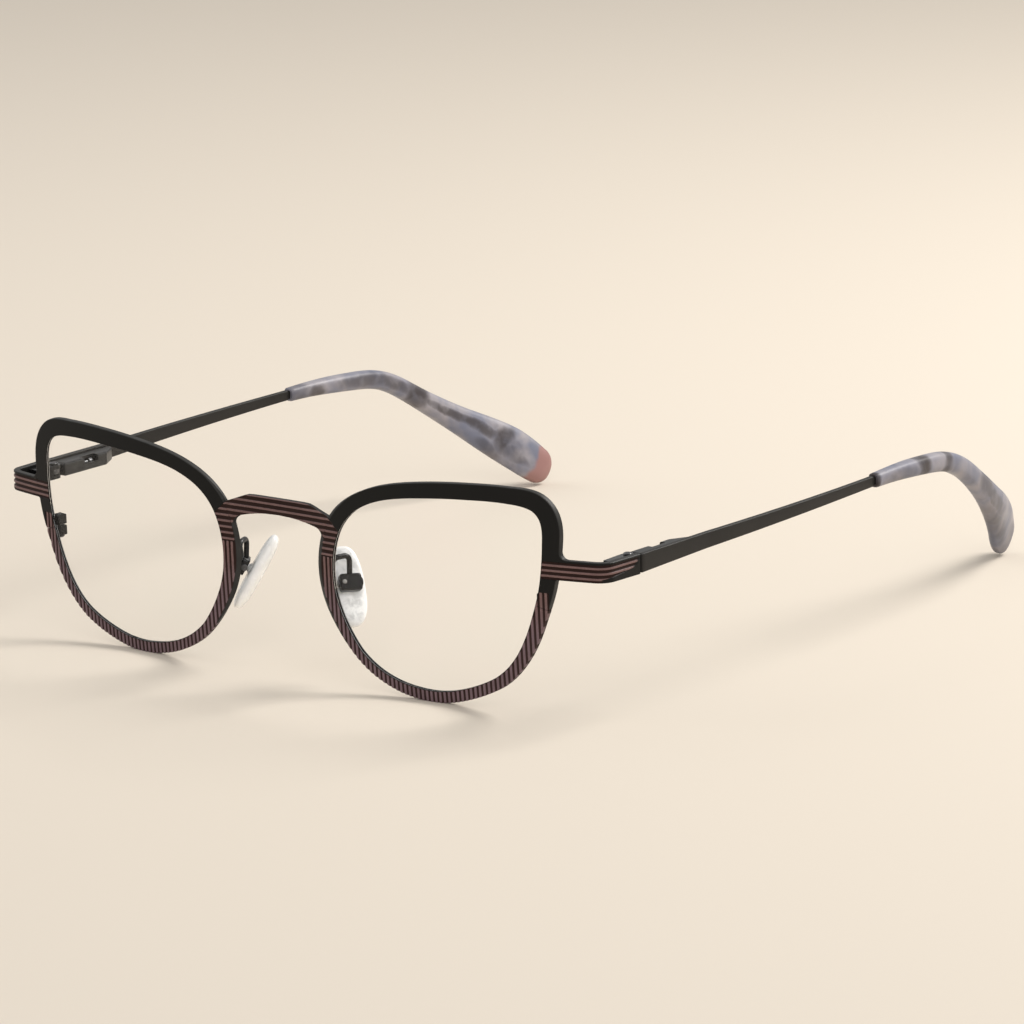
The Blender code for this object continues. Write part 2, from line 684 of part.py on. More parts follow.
def hinge_parts(side):
    """Front leaf, hinge screw, slider with its nut, spring, housing and its end plug."""
    x, y, z = HINGE_PLACE
    half = HINGE_HEIGHT / 2
    bore_radius = PIN_RADIUS + PIN_CLEARANCE
    middle = MIDDLE_KNUCKLE / 2
    parts = []

    inner = offset_path(end_piece_path(), END_THICKNESS + SOLDER)[-2:]
    direction = (inner[1] - inner[0]) / np.linalg.norm(inner[1] - inner[0])
    leaf_end = y - KNUCKLE_RADIUS - KNUCKLE_GAP
    leaf_start = leaf_end - HINGE_LEAF_LENGTH
    wall = [inner[1] + direction * ((level - inner[1][1]) / direction[1]) for level in (leaf_start, leaf_end)]
    arc = [(x + KNUCKLE_RADIUS * math.cos(a), y + KNUCKLE_RADIUS * math.sin(a))
           for a in np.linspace(0, math.pi, KNUCKLE_STEPS)]
    outline = [(x - LEAF_HALF_WIDTH, leaf_start), tuple(wall[0]), tuple(wall[1]), *arc,
               (x - KNUCKLE_RADIUS, leaf_end)]
    leaf = plate(side + "_front_hinge", outline, HINGE_HEIGHT, FINISH["black"])
    place(leaf, Matrix.Translation((0, 0, z)))
    gap = block(side + "_leaf_cut", (x - OVERRUN * 3, leaf_end - KNUCKLE_GAP, z - middle - KNUCKLE_GAP),
                (x + OVERRUN * 3, y + OVERRUN * 3, z + middle + KNUCKLE_GAP))
    bore = rod(side + "_hinge_bore", (x, y, z - HINGE_HEIGHT), (x, y, z + HINGE_HEIGHT), bore_radius)
    parts.append(combine(leaf, "DIFFERENCE", gap, bore))

    parts.append(slotted_screw(side + "_hinge_screw", (x, y, z + half), (0, 0, 1), PIN_RADIUS,
                               HINGE_HEIGHT, PIN_HEAD_RADIUS, PIN_HEAD_HEIGHT))

    slider = rod(side + "_hinge_slider", (x, y, z - middle), (x, y, z + middle),
                 KNUCKLE_RADIUS - KNUCKLE_GAP, FINISH["steel"])
    stem = rod(side + "_stem_form", (x, y + PIN_RADIUS, z), (x, y + STEM_LENGTH, z), STEM_RADIUS)
    parts.append(combine(slider, "UNION", stem))
    combine(slider, "DIFFERENCE", bore)

    nut_start = y + STEM_LENGTH - NUT_LENGTH - SOLDER
    nut = rod(side + "_spring_nut", (x, nut_start, z), (x, nut_start + NUT_LENGTH, z), NUT_RADIUS,
              FINISH["steel"])
    nut_bore = rod(side + "_nut_bore", (x, nut_start - OVERRUN, z),
                   (x, nut_start + NUT_LENGTH + OVERRUN, z), STEM_RADIUS + PIN_CLEARANCE)
    parts.append(combine(nut, "DIFFERENCE", nut_bore))

    start = y + HOUSING_START
    end = start + HOUSING_LENGTH
    left_wall = x - half
    right_wall = TEMPLE_INNER - SOLDER
    outline = [(left_wall, start), (right_wall, start), (right_wall, end),
               (right_wall - HOUSING_WALL * 2, end), (left_wall, end - HOUSING_TAPER)]
    housing = plate(side + "_hinge_housing", outline, HINGE_HEIGHT, FINISH["grey"])
    place(housing, Matrix.Translation((0, 0, z)))
    cavity = half - HOUSING_WALL
    cavity_end = end - HOUSING_TAPER - PLUG_LENGTH
    room = block(side + "_cavity_cut", (x - cavity, start + HOUSING_FRONT_WALL, z - cavity),
                 (x + cavity, end - HOUSING_TAPER + SOLDER, z + cavity))
    mouth = rod(side + "_mouth_cut", (x, start - OVERRUN, z), (x, start + HOUSING_FRONT_WALL + OVERRUN / 2, z),
                STEM_RADIUS + STEM_CLEARANCE)
    window = block(side + "_window_cut",
                   (left_wall - OVERRUN, start + WINDOW_START, z + half - WINDOW_DEPTH),
                   (x, start + WINDOW_START + WINDOW_LENGTH, z + half + OVERRUN))
    rounding = housing.modifiers.new("edges", "BEVEL")
    rounding.width = HOUSING_BEVEL
    rounding.segments = 2
    rounding.limit_method = "ANGLE"
    parts.append(combine(housing, "DIFFERENCE", room, mouth, window))

    coil_start = start + HOUSING_FRONT_WALL + SPRING_WIRE + SOLDER
    coil_end = nut_start - SPRING_TRAVEL - SPRING_WIRE - SOLDER
    pitch = (coil_end - coil_start) / SPRING_TURNS
    turns = np.linspace(0, SPRING_TURNS, SPRING_TURNS * SPRING_STEPS + 1)
    coil = [(x + SPRING_RADIUS * math.cos(2 * math.pi * t), coil_start + pitch * t,
             z + SPRING_RADIUS * math.sin(2 * math.pi * t)) for t in turns]
    print("hinge spring, least gap between turns:", round(least_gap(coil, SPRING_WIRE) / MM, 3), "mm")
    parts.append(wire(side + "_hinge_spring", coil, SPRING_WIRE, FINISH["steel"], resolution=1))

    slack = cavity - SOLDER
    parts.append(block(side + "_housing_plug", (x - slack, cavity_end, z - slack),
                       (x + slack, cavity_end + PLUG_LENGTH, z + slack), FINISH["grey"]))
    return parts


def least_gap(coil, radius):
    """The least gap between parts of a coil that lie half a turn or more apart along it."""
    points = np.array(coil)
    apart = np.linalg.norm(points[:, None] - points[None], axis=2)
    order = np.arange(len(points))
    other_turn = np.abs(order[:, None] - order[None]) > SPRING_STEPS // 2
    return float(apart[other_turn].min()) - 2 * radius


def rectangle(centre, half_height, half_thickness, upward, outward, corner):
    """An eight-sided section: a rectangle with cut corners."""
    up, out = np.array(upward), np.array(outward)
    spots = ((1, 1, 0, -1), (1, 1, -1, 0), (-1, 1, 1, 0), (-1, 1, 0, -1),
             (-1, -1, 0, 1), (-1, -1, 1, 0), (1, -1, -1, 0), (1, -1, 0, 1))
    return np.array([np.array(centre) + up * (a * half_height + c * corner)
                     + out * (b * half_thickness + d * corner) for a, b, c, d in spots])


def temple_line(share):
    """Centre of the temple's blade at a share of its length, and half its height there."""
    y = TEMPLE_START + share * TEMPLE_LENGTH
    straight = TEMPLE_STRAIGHT / TEMPLE_LENGTH
    past = max(0.0, share - straight) / (1 - straight)
    x = TEMPLE_INNER + TEMPLE_THICKNESS / 2 + TEMPLE_FLARE * past + TEMPLE_BOW * 4 * past * (1 - past)
    z = END_CENTRE_HEIGHT + TEMPLE_RISE * share
    half = (TEMPLE_END_HEIGHT + (TEMPLE_HEIGHT - TEMPLE_END_HEIGHT) * (1 - share) ** TEMPLE_TAPER) / 2
    return (x, y, z), half


def tip_stations(steps=2):
    """Centres of the tip's sections, the share of the paddle's width, and their frames."""
    (x, y, z), _ = temple_line(1.0)
    shares = np.array(TIP_SHARES)
    places = np.column_stack([
        y + shares[:, 0] * TIP_REACH,
        z - shares[:, 1] * TIP_DROP,
        x - shares[:, 2] * TIP_INWARD,
        shares[:, 3],
    ])
    rows = spline_points(places, steps, closed=False)
    centres = rows[:, [2, 0, 1]]
    along = np.gradient(centres, axis=0)
    along /= np.linalg.norm(along, axis=1)[:, None]
    out = np.array([1.0, 0, 0]) - along[:, :1] * along
    out /= np.linalg.norm(out, axis=1)[:, None]
    up = np.cross(out, along)
    return centres, rows[:, 3], along, out, up


def oval(centre, half_height, half_thickness, upward, outward, roundness=TIP_ROUNDNESS):
    """A rounded section: an ellipse at roundness 1, and nearer a rectangle below it."""
    angles = np.linspace(0, 2 * math.pi, TIP_SIDES, endpoint=False)
    cos, sin = np.cos(angles), np.sin(angles)
    across = np.sign(cos) * np.abs(cos) ** roundness * half_thickness
    high = np.sign(sin) * np.abs(sin) ** roundness * half_height
    return centre + np.outer(high, upward) + np.outer(across, outward)


def temple(name):
    """A tapering flat blade that ends in the thin core inside the tip."""
    up, out = (0, 0, 1), (1, 0, 0)
    rings = []
    straight = TEMPLE_STRAIGHT / TEMPLE_LENGTH
    for share in (0.0, straight, *np.linspace(straight, 1.0, TEMPLE_STEPS)[1:]):
        centre, half = temple_line(share)
        rings.append(rectangle(centre, half, TEMPLE_THICKNESS / 2, up, out, TEMPLE_CORNER))
    centres, _, along, outward, upward = tip_stations()
    count = max(3, int(len(centres) * CORE_SHARE))
    shoulder = rings[-1].mean(axis=0) + along[0] * SOLDER
    rings.append(rectangle(shoulder, CORE_HEIGHT / 2, CORE_THICKNESS / 2, up, out, CORE_CORNER))
    for k in range(1, count):
        rings.append(rectangle(centres[k], CORE_HEIGHT / 2, CORE_THICKNESS / 2, upward[k], outward[k],
                               CORE_CORNER))
    return skin(name, rings, FINISH["temple"])


def temple_tip(name):
    """An acetate sleeve over the core, bent behind the ear and widened to a paddle."""
    centres, shares, along, outward, upward = tip_stations()
    heights = (TIP_HEIGHT + (TIP_PADDLE - TIP_HEIGHT) * shares) / 2
    widths = TIP_THICKNESS / 2 * np.minimum(1.0, MOUTH_SHARE + shares * 2)
    outer = [oval(centres[k], heights[k], widths[k], upward[k], outward[k]) for k in range(len(centres))]
    mouth = SOLDER * 3
    outer[0] = outer[0] + along[0] * mouth
    count = max(3, int(len(centres) * CORE_SHARE))
    wide = CORE_THICKNESS / 2 + CORE_CLEARANCE
    high = CORE_HEIGHT / 2 + CORE_CLEARANCE
    bore = [oval(centres[k], high, wide, upward[k], outward[k], CORE_ROUNDNESS) for k in range(count)]
    bore[0] = bore[0] + along[0] * mouth
    bore.append(bore[-1] + along[count - 1] * CORE_CLEARANCE * 2)
    end = centres[-1] + along[-1] * heights[-1] * END_HEIGHT_SHARE
    last_ring = oval(centres[-1] + along[-1] * heights[-1] * END_RING_SHARE,
                     heights[-1] * END_HEIGHT_SHARE, widths[-1] * END_HEIGHT_SHARE,
                     upward[-1], outward[-1])
    return skin(name, [*bore[::-1], *outer, last_ring], FINISH["acetate"], last=end)


def pad_frame():
    """The nose pad's pivot and its long, facing and short directions."""
    long = Vector((-math.sin(PAD_FRONTAL), math.cos(PAD_FRONTAL) * math.sin(PAD_LEAN),
                   math.cos(PAD_FRONTAL) * math.cos(PAD_LEAN))).normalized()
    short = Vector((math.sin(PAD_SPLAY), math.cos(PAD_SPLAY), 0))
    short = (short - long * short.dot(long)).normalized()
    face = short.cross(long).normalized()
    if face.x > 0:
        face = -face
    return Vector((PAD_SPREAD, PAD_BACK, PAD_HEIGHT)), long, face, short


def in_pad_frame(thing):
    """Place a piece made along the short, long and facing directions at the nose pad's pivot."""
    pivot, long, face, short = pad_frame()
    if short.cross(long).dot(face) < 0:
        short = -short
    matrix = Matrix((short, long, face)).transposed().to_4x4()
    matrix.translation = pivot
    return place(thing, matrix)


def nose_pad_parts(side):
    """A soft pad with its boss, the box it rocks in, the box's screw and the arm."""
    rows = []
    middle = PAD_STANDOFF + PAD_THICKNESS / 2
    angles = np.linspace(0, 2 * math.pi, ROUND, endpoint=False)
    for share in PAD_STATION_SHARES:
        long = share * PAD_LENGTH / 2
        egg = 1 - PAD_EGG_SHARE * share
        half = PAD_WIDTH / 2 * math.sqrt(1 - share ** 2) ** PAD_BLUNTNESS * egg
        thick = PAD_THICKNESS / 2 * math.sqrt(1 - share ** 4)
        rows.append(np.column_stack([half * np.cos(angles), np.full(ROUND, long),
                                     middle + thick * np.sin(angles)]))
    ends = [(0, s * PAD_LENGTH / 2, middle) for s in (-1, 1)]
    pad = in_pad_frame(skin(side + "_nose_pad", rows, FINISH["silicone"], first=ends[0], last=ends[1]))
    wide = BOSS_WIDTH / 2 - SETBACK
    neck = in_pad_frame(block(side + "_neck_form", (-wide, -BOSS_NECK / 2, 0),
                              (wide, BOSS_NECK / 2, middle)))
    eye = in_pad_frame(rod(side + "_eye_form", (-BOSS_WIDTH / 2, 0, 0), (BOSS_WIDTH / 2, 0, 0), BOSS_RADIUS))
    bore = in_pad_frame(rod(side + "_eye_bore", (-BOX_WIDTH, 0, 0), (BOX_WIDTH, 0, 0),
                            PAD_SCREW_RADIUS + PIN_CLEARANCE))
    combine(pad, "UNION", neck, eye)
    combine(pad, "DIFFERENCE", bore)

    top = PAD_STANDOFF / 2
    box = in_pad_frame(block(side + "_pad_box", (-BOX_WIDTH / 2, -BOX_LENGTH / 2, top - BOX_DEPTH),
                             (BOX_WIDTH / 2, BOX_LENGTH / 2, top), FINISH["black"], BOX_BEVEL))
    slot = in_pad_frame(block(side + "_box_cut",
                              (-BOX_SLOT_WIDTH / 2, -BOX_SLOT_LENGTH / 2, top - BOX_DEPTH + BOX_FLOOR),
                              (BOX_SLOT_WIDTH / 2, BOX_SLOT_LENGTH / 2, top + OVERRUN)))
    combine(box, "DIFFERENCE", slot, bore)

    pivot, long, face, short = pad_frame()
    screw = slotted_screw(side + "_pad_screw", pivot - short * (BOX_WIDTH / 2), -short, PAD_SCREW_RADIUS,
                          BOX_WIDTH, PAD_SCREW_HEAD, PAD_SCREW_HEAD_HEIGHT)

    box_end = pivot + long * (BOX_LENGTH / 2 + ARM_GAP) + face * (top - BOX_DEPTH / 2)
    foot = Vector(front_point(NASAL_EDGE - ARM_FOOT_IN, 0.0, RIM_DEPTH + SOLDER))
    root = foot + Vector((0, ARM_ROOT, 0))
    crest = root + Vector(((box_end.x - foot.x) * ARM_LEAN_SHARE, 0, ARM_RISE))
    path = rounded_path([foot, root, crest, box_end + long * ARM_FALL, box_end], ARM_BEND_RADIUS)
    arm = wire(side + "_pad_arm", [tuple(p) for p in path], ARM_RADIUS, FINISH["black"])
    return [pad, box, screw, arm]


def hold(parts, parent):
    """Parent pieces without moving them."""
    for part in parts:
        part.parent = parent
        part.matrix_parent_inverse = parent.matrix_world.inverted()


def empty(name, spot, parent=None):
    """A joint's axis or the whole object's handle."""
    thing = bpy.data.objects.new(name, None)
    PARTS.objects.link(thing)
    thing.location = spot
    bpy.context.view_layer.update()
    if parent:
        hold([thing], parent)
    bpy.context.view_layer.update()
    return thing


def middle_from_front_to_back(things):
    """The middle of the pieces along Y, after their modifiers."""
    graph = bpy.context.evaluated_depsgraph_get()
    ends = []
    for thing in things:
        mesh = thing.evaluated_get(graph).to_mesh()
        depths = [(thing.matrix_world @ v.co).y for v in mesh.vertices]
        ends += [min(depths), max(depths)]
        thing.evaluated_get(graph).to_mesh_clear()
    return (min(ends) + max(ends)) / 2


def build():
    """Make every piece, copy the left ones to the right, and set the joints' empties."""
    whole = empty("spectacles", (0, 0, 0))
    fixed = [front()]
    for side, sign in (("left", 1), ("right", -1)):
        hinge = (sign * HINGE_PLACE[0], HINGE_PLACE[1], HINGE_PLACE[2])
        pad_pivot = pad_frame()[0]
        fold = empty(side + "_fold_axis", hinge, whole)
        rock = empty(side + "_pad_axis", (sign * pad_pivot.x, pad_pivot.y, pad_pivot.z), whole)
        if side == "left":
            lefts = make_side(side)
            pieces = lefts
        else:
            bpy.context.view_layer.update()
            pieces = {}
            for key, thing in lefts.items():
                name = thing.name.replace("left", "right")
                pieces[key] = mirrored(thing, name, thing.data.materials[0])
        on_temple = ("slider", "nut", "housing", "spring", "plug", "temple", "tip")
        hold([pieces[key] for key in on_temple], fold)
        hold([pieces["pad"]], rock)
        fixed += [thing for key, thing in pieces.items() if key not in (*on_temple, "pad")]
    hold(fixed, whole)
    bpy.context.view_layer.update()
    solids = [thing for thing in PARTS.objects if thing.type == "MESH"]
    whole.location.y = -middle_from_front_to_back(solids)
    bpy.context.view_layer.update()


def make_side(side):
    """All pieces that the left and right sides have alike."""
    upper, lower, lock_screw = rim_locks(side)
    leaf, hinge_screw, slider, nut, housing, spring, plug = hinge_parts(side)
    pad, box, pad_screw, arm = nose_pad_parts(side)
    return {
        "lens": lens(side + "_lens"), "upper": upper, "lower": lower, "lock_screw": lock_screw,
        "leaf": leaf, "hinge_screw": hinge_screw, "slider": slider, "nut": nut, "housing": housing,
        "spring": spring, "plug": plug, "pad": pad, "box": box, "pad_screw": pad_screw, "arm": arm,
        "temple": temple(side + "_temple"), "tip": temple_tip(side + "_temple_tip"),
    }


remove_everything()
PARTS = bpy.data.collections.new("cat_eye_glasses")
CUTTERS = bpy.data.collections.new("cutters")
bpy.context.scene.collection.children.link(PARTS)
bpy.context.scene.collection.children.link(CUTTERS)

FINISH = {
    "front": make_material("milled_black", (0.028, 0.028, 0.030), 0.45, 0.6),
    "lens": make_material("clear_lens", (0.90, 0.92, 0.92), 0.04, 0.0, 0.2),
    "black": make_material("black_fittings", (0.020, 0.020, 0.020), 0.40, 0.7),
    "steel": make_material("hinge_steel", (0.45, 0.45, 0.46), 0.30, 1.0),
    "grey": make_material("grey_housing", (0.20, 0.20, 0.21), 0.40, 0.8),
    "temple": make_material("charcoal_temple", (0.045, 0.043, 0.041), 0.45, 0.7),
    "acetate": make_material("marbled_acetate", (0.42, 0.42, 0.47), 0.20, 0.0),
    "silicone": make_material("clear_silicone", (0.88, 0.89, 0.90), 0.25, 0.0, 0.8),
}

LENS_ACROSS = BRIDGE_GAP / 2 + LENS_WIDTH / 2
LENS_CENTRE_HEIGHT = 0.0
OUTLINE, NORMALS, WIDTHS, CHAMFERS = opening_outline()
LENS_CENTRE_HEIGHT = -float(np.vstack(rim_rings())[:, 2].min()) - REST_FLAT
END_CENTRE_HEIGHT = float(front_point(END_REACH, END_RISE)[2])
HINGE_BACK = float(front_point(END_REACH, END_RISE, SETBACK)[1]) + END_SIDE_LENGTH
TEMPLE_START = HINGE_BACK + HINGE_SEAM / 2
TEMPLE_INNER = END_REACH + END_FLARE - TEMPLE_THICKNESS
HINGE_PLACE = (END_REACH + END_FLARE - HINGE_OFFSET, HINGE_BACK, END_CENTRE_HEIGHT)
TEMPORAL_EDGE = opening_edge(0.0, 1)
NASAL_EDGE = opening_edge(0.0, -1)

build()
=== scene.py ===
"""Cat eye spectacles: milled metal front, clear lenses, nose pads, temples and marbled tips.

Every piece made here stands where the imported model's node of the same name stands. Lengths
are metres, the wearer looks along -Y and left is +X. Shapes are worked out for the left side
and mirrored. The front is worked out in three measures: across and up from the middle of the
lenses, and depth behind the front's bent face.
"""

import math

import bmesh
import bpy
import numpy as np
from bpy.props import FloatProperty, FloatVectorProperty, PointerProperty
from bpy.types import Operator, Panel, PropertyGroup
from mathutils import Matrix, Vector


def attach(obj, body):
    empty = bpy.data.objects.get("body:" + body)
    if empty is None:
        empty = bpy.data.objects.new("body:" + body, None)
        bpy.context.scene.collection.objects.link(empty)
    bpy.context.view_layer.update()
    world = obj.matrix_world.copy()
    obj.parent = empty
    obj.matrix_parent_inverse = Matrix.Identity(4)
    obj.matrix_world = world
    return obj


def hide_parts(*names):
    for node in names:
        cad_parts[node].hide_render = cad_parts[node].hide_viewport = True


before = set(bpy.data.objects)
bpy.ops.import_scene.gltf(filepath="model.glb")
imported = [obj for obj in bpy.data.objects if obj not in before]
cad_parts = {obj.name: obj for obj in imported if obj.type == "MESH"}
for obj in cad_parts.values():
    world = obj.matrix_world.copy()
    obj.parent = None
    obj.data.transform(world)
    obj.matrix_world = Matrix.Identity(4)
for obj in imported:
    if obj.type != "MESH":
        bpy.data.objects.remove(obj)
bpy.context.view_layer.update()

bl_info = {
    "name": "Cat eye glasses",
    "version": (1, 0, 0),
    "blender": (4, 5, 0),
    "location": "3D View > Sidebar > Glasses",
    "description": "Makes the finished pieces of a pair of cat eye spectacles",
    "category": "Object",
}

MM = 0.001
SIDES = ("left", "right")

# The front, as the model's source has it
LENS_WIDTH = 43.4 * MM
LENS_HEIGHT = 35.5 * MM
BRIDGE_GAP = 24.7 * MM
LENS_ACROSS = (BRIDGE_GAP + LENS_WIDTH) / 2
LENS_CENTRE_HEIGHT = 19.951 * MM
FACE_BACK = -78.002 * MM
FRONT_TILT = math.radians(3.1)
FRONT_WRAP = math.radians(4.6)
RADIUS_ACROSS = 154 * MM
RADIUS_UP = 233 * MM
OUTLINE_SHARES = (
    (0.999, 0.818, 0.80, 0.0), (0.991, 0.922, 0.85, 0.0), (0.956, 0.974, 0.80, 0.0),
    (0.855, 0.999, 0.55, 0.0), (0.665, 0.999, 0.50, 0.0), (0.443, 0.979, 0.45, 0.0),
    (0.250, 0.938, 0.35, 0.0), (0.119, 0.863, 0.40, 0.1), (0.043, 0.759, 0.45, 0.6),
    (0.006, 0.621, 0.40, 1.0), (0.001, 0.503, 0.35, 1.0), (0.024, 0.365, 0.15, 0.8),
    (0.127, 0.149, -0.10, 0.0), (0.255, 0.044, -0.10, 0.0), (0.406, 0.000, 0.05, 0.0),
    (0.556, 0.006, 0.05, 0.0), (0.772, 0.107, 0.00, 0.0), (0.860, 0.211, 0.00, 0.0),
    (0.914, 0.329, 0.15, 0.0), (0.953, 0.459, 0.25, 0.0), (0.984, 0.606, 0.50, 0.0),
)
OUTLINE_STEPS = 60
LIP = 0.22 * MM
LENS_GROOVE = 0.55 * MM
LENS_GROOVE_FLOOR = 0.36 * MM
EDGE = 0.12 * MM
SOFT_EDGE = 0.06 * MM
FLANGE_WIDTH = 1.0 * MM
FLANGE_DEPTH = 0.4 * MM
FLANGE_UNDERCUT = 0.4
FLANGE_SHOWN = (0.05, 0.25)
SLIT = 0.08 * MM
FACE_ROWS = 22
THIRDS = (0.33, 0.67, 1.0)
FINE_STEP = 0.1 * MM
COARSE_STEP = 0.45 * MM
FINE_BELOW = 10.3 * MM
RIM_SAMPLES = 4000
RIM_BLUR = 40

# Where the stripes are: heights above the floor, distances across
NASAL_SIDE = 26 * MM
UPRIGHT_FIRST = 56.17 * MM
UPRIGHT_LAST = 56.8 * MM
UPRIGHT_TOP_TEMPORAL = 22.6 * MM
UPRIGHT_TOP_NASAL = 23.75 * MM
LEVEL_FIRST = 24.2 * MM
SLANT_FOOT = (13.93 * MM, 28.7 * MM)
SLANT_HEAD = (10.9 * MM, 31.5 * MM)
END_GROOVES = (25.05 * MM, 28.3 * MM)
END_RIDGE_HEIGHTS = (25.72 * MM, 26.68 * MM, 27.62 * MM)
END_RIDGE_REACH = (11.0 * MM, 18.9 * MM, 20.0 * MM)
RUN_OUT = 0.35 * MM
END_RUN_OUT = 1.4 * MM

# The lower rims' own tint: from how far above the lens centres, and over what height
TINT_ABOVE = 2 * MM
TINT_RUN = 8 * MM

# Bridge: millimetres across and above the lens centres, and its lower and upper fillet
BRIDGE_TOP = ((0.0, 12.80), (5.6, 12.80), (6.9, 12.72), (7.8, 12.45), (10.2, 11.55), (12.0, 10.9))
BRIDGE_LOW = ((0.0, 9.86), (2.7, 9.80), (4.6, 9.62), (6.1, 9.36), (8.0, 8.95), (9.8, 8.55),
              (12.0, 8.1))
BRIDGE_SEAM = (7.0 * MM, 11.30 * MM)
BRIDGE_FILLETS = (1.6 * MM, 0.2 * MM)
BRIDGE_STEP = 0.2 * MM
BRIDGE_DEPTH_EASE = 2.2 * MM
# Share of lighter grey on the bridge's edges: partly wear, partly a painted highlight
BRIDGE_WEAR_AND_SHEEN = 0.5
BRIDGE_FACE_DEPTH = 1.2

# End pieces
END_HEIGHT = 3.6 * MM
END_RISE = 6.6 * MM
END_INSIDE = 56.5 * MM
END_CENTRE_HEIGHT = 26.879 * MM
END_THICKNESS = 1.2 * MM
END_REACH = 66.9 * MM
END_BEND_RADIUS = 3.4 * MM
END_WALL_REACH = 67.25 * MM
END_FLARE = 0.75 * MM
END_FILLETS = (0.45 * MM, 1.5 * MM)
END_SEAM = (END_CENTRE_HEIGHT - END_HEIGHT / 2 - END_FILLETS[0],
            END_CENTRE_HEIGHT + END_HEIGHT / 2 + END_FILLETS[1])
END_STEP = 0.25 * MM
END_PLAN_EASE = 1.6 * MM
# Share of lighter grey on the end piece's edges: partly wear, partly a painted highlight
END_WEAR_AND_SHEEN = 0.8
HINGE_BACK = 15.9 * MM
HINGE_SEAM = 0.6 * MM

# Lenses
LENS_CLEARANCE = 0.03 * MM
LENS_THICKNESS = 0.8 * MM
LENS_BEVEL = 0.45 * MM
LENS_SHOULDER = 0.07 * MM
LENS_POINTS = 360
LENS_RINGS = 16
LENS_LAST_RING = 0.985

# Temples and tips
TEMPLE_THICKNESS = 1.0 * MM
TEMPLE_HEIGHT = 3.4 * MM
TEMPLE_END_HEIGHT = 1.9 * MM
TEMPLE_TAPER = 1.2
TEMPLE_LENGTH = 72.6 * MM
TEMPLE_STRAIGHT = 20.0 * MM
TEMPLE_FLARE = 0.25 * MM
TEMPLE_BOW = 0.5 * MM
TEMPLE_RISE = 1.1 * MM
TEMPLE_START = HINGE_BACK + HINGE_SEAM / 2
BLADE_AHEAD = 0.14 * MM
BLADE_AHEAD_FADE = 20
TEMPLE_INNER = END_REACH + END_FLARE - TEMPLE_THICKNESS
TEMPLE_CORNER = 0.22 * MM
# Shares of the length near the blade's ends, and how many millimetres its sides draw in there
BLADE_START = ((0.0, 0.12), (0.0016, 0.04))
BLADE_MIDDLE = (0.004, 0.994)
BLADE_ROWS = 90
BLADE_END = ((0.9975, 0.05), (1.0, 0.16))
CORE_HEIGHT = 1.4 * MM
CORE_THICKNESS = 0.8 * MM
CORE_CORNER = 0.15 * MM
CORE_SHARE = 0.78
CORE_CLEARANCE = 0.12 * MM
TIP_REACH = 66.0 * MM
TIP_DROP = 25.5 * MM
TIP_INWARD = 13.3 * MM
TIP_THICKNESS = 3.3 * MM
TIP_HEIGHT = 2.6 * MM
TIP_PADDLE = 8.2 * MM
TIP_STEPS = 10
TIP_SIDES = 40
TIP_MOUTH = 0.3 * MM
TIP_LIP = 0.45 * MM
TIP_LIP_SHARE = 0.16
TIP_MOUTH_SHARE = 0.75
TIP_ROUNDNESS = 0.75
TIP_ROUND_POWERS = (0.8, 0.9)
BORE_ROUNDNESS = 0.4
TIP_ROUND_START = 2.5 * MM
TIP_ROUND_LENGTH = 3.4 * MM
TIP_SHARES = (
    (0.000, 0.000, 0.000, 0.00), (0.094, -0.002, 0.019, 0.05), (0.185, 0.004, 0.045, 0.11),
    (0.276, 0.018, 0.071, 0.15), (0.352, 0.035, 0.090, 0.18), (0.412, 0.065, 0.109, 0.20),
    (0.473, 0.124, 0.128, 0.22), (0.526, 0.196, 0.158, 0.23), (0.586, 0.288, 0.211, 0.27),
    (0.659, 0.402, 0.301, 0.38), (0.738, 0.527, 0.429, 0.57), (0.820, 0.657, 0.586, 0.84),
    (0.900, 0.794, 0.771, 1.00), (0.964, 0.931, 0.932, 0.87), (1.000, 1.000, 1.000, 0.60),
)

# Dark stains in the tips, and painted shade at the left tip's mouth: share along, share across, half
# length, half width, strength
TIP_STAINS_AND_SHADE = {
    "left": (
        # The first entry, at the mouth where the blade enters, is painted shade
        (0.00, 0.0, 0.016, 3.0, 0.95), (0.11, -0.2, 0.06, 0.6, 0.45), (0.217, 0.0, 0.026, 3.0, 0.92),
        (0.334, 0.2, 0.016, 3.0, 0.75), (0.57, 0.2, 0.05, 0.6, 0.60), (0.66, -0.1, 0.11, 0.28, 0.60),
        (0.78, -0.7, 0.12, 0.45, 0.50), (0.95, -0.2, 0.03, 0.9, 0.30)),
    "right": (
        (0.03, 0.0, 0.04, 1.4, 0.60), (0.10, -0.3, 0.03, 0.7, 0.85), (0.30, 0.1, 0.12, 0.50, 0.70),
        (0.41, 0.0, 0.07, 0.42, 0.70), (0.50, 0.0, 0.034, 1.3, 0.90), (0.67, 0.05, 0.16, 0.20, 0.80),
        (0.825, 0.05, 0.026, 0.55, 0.85), (0.86, -0.3, 0.05, 0.25, 0.60),
        (0.79, -0.75, 0.04, 0.3, 0.50)),
}

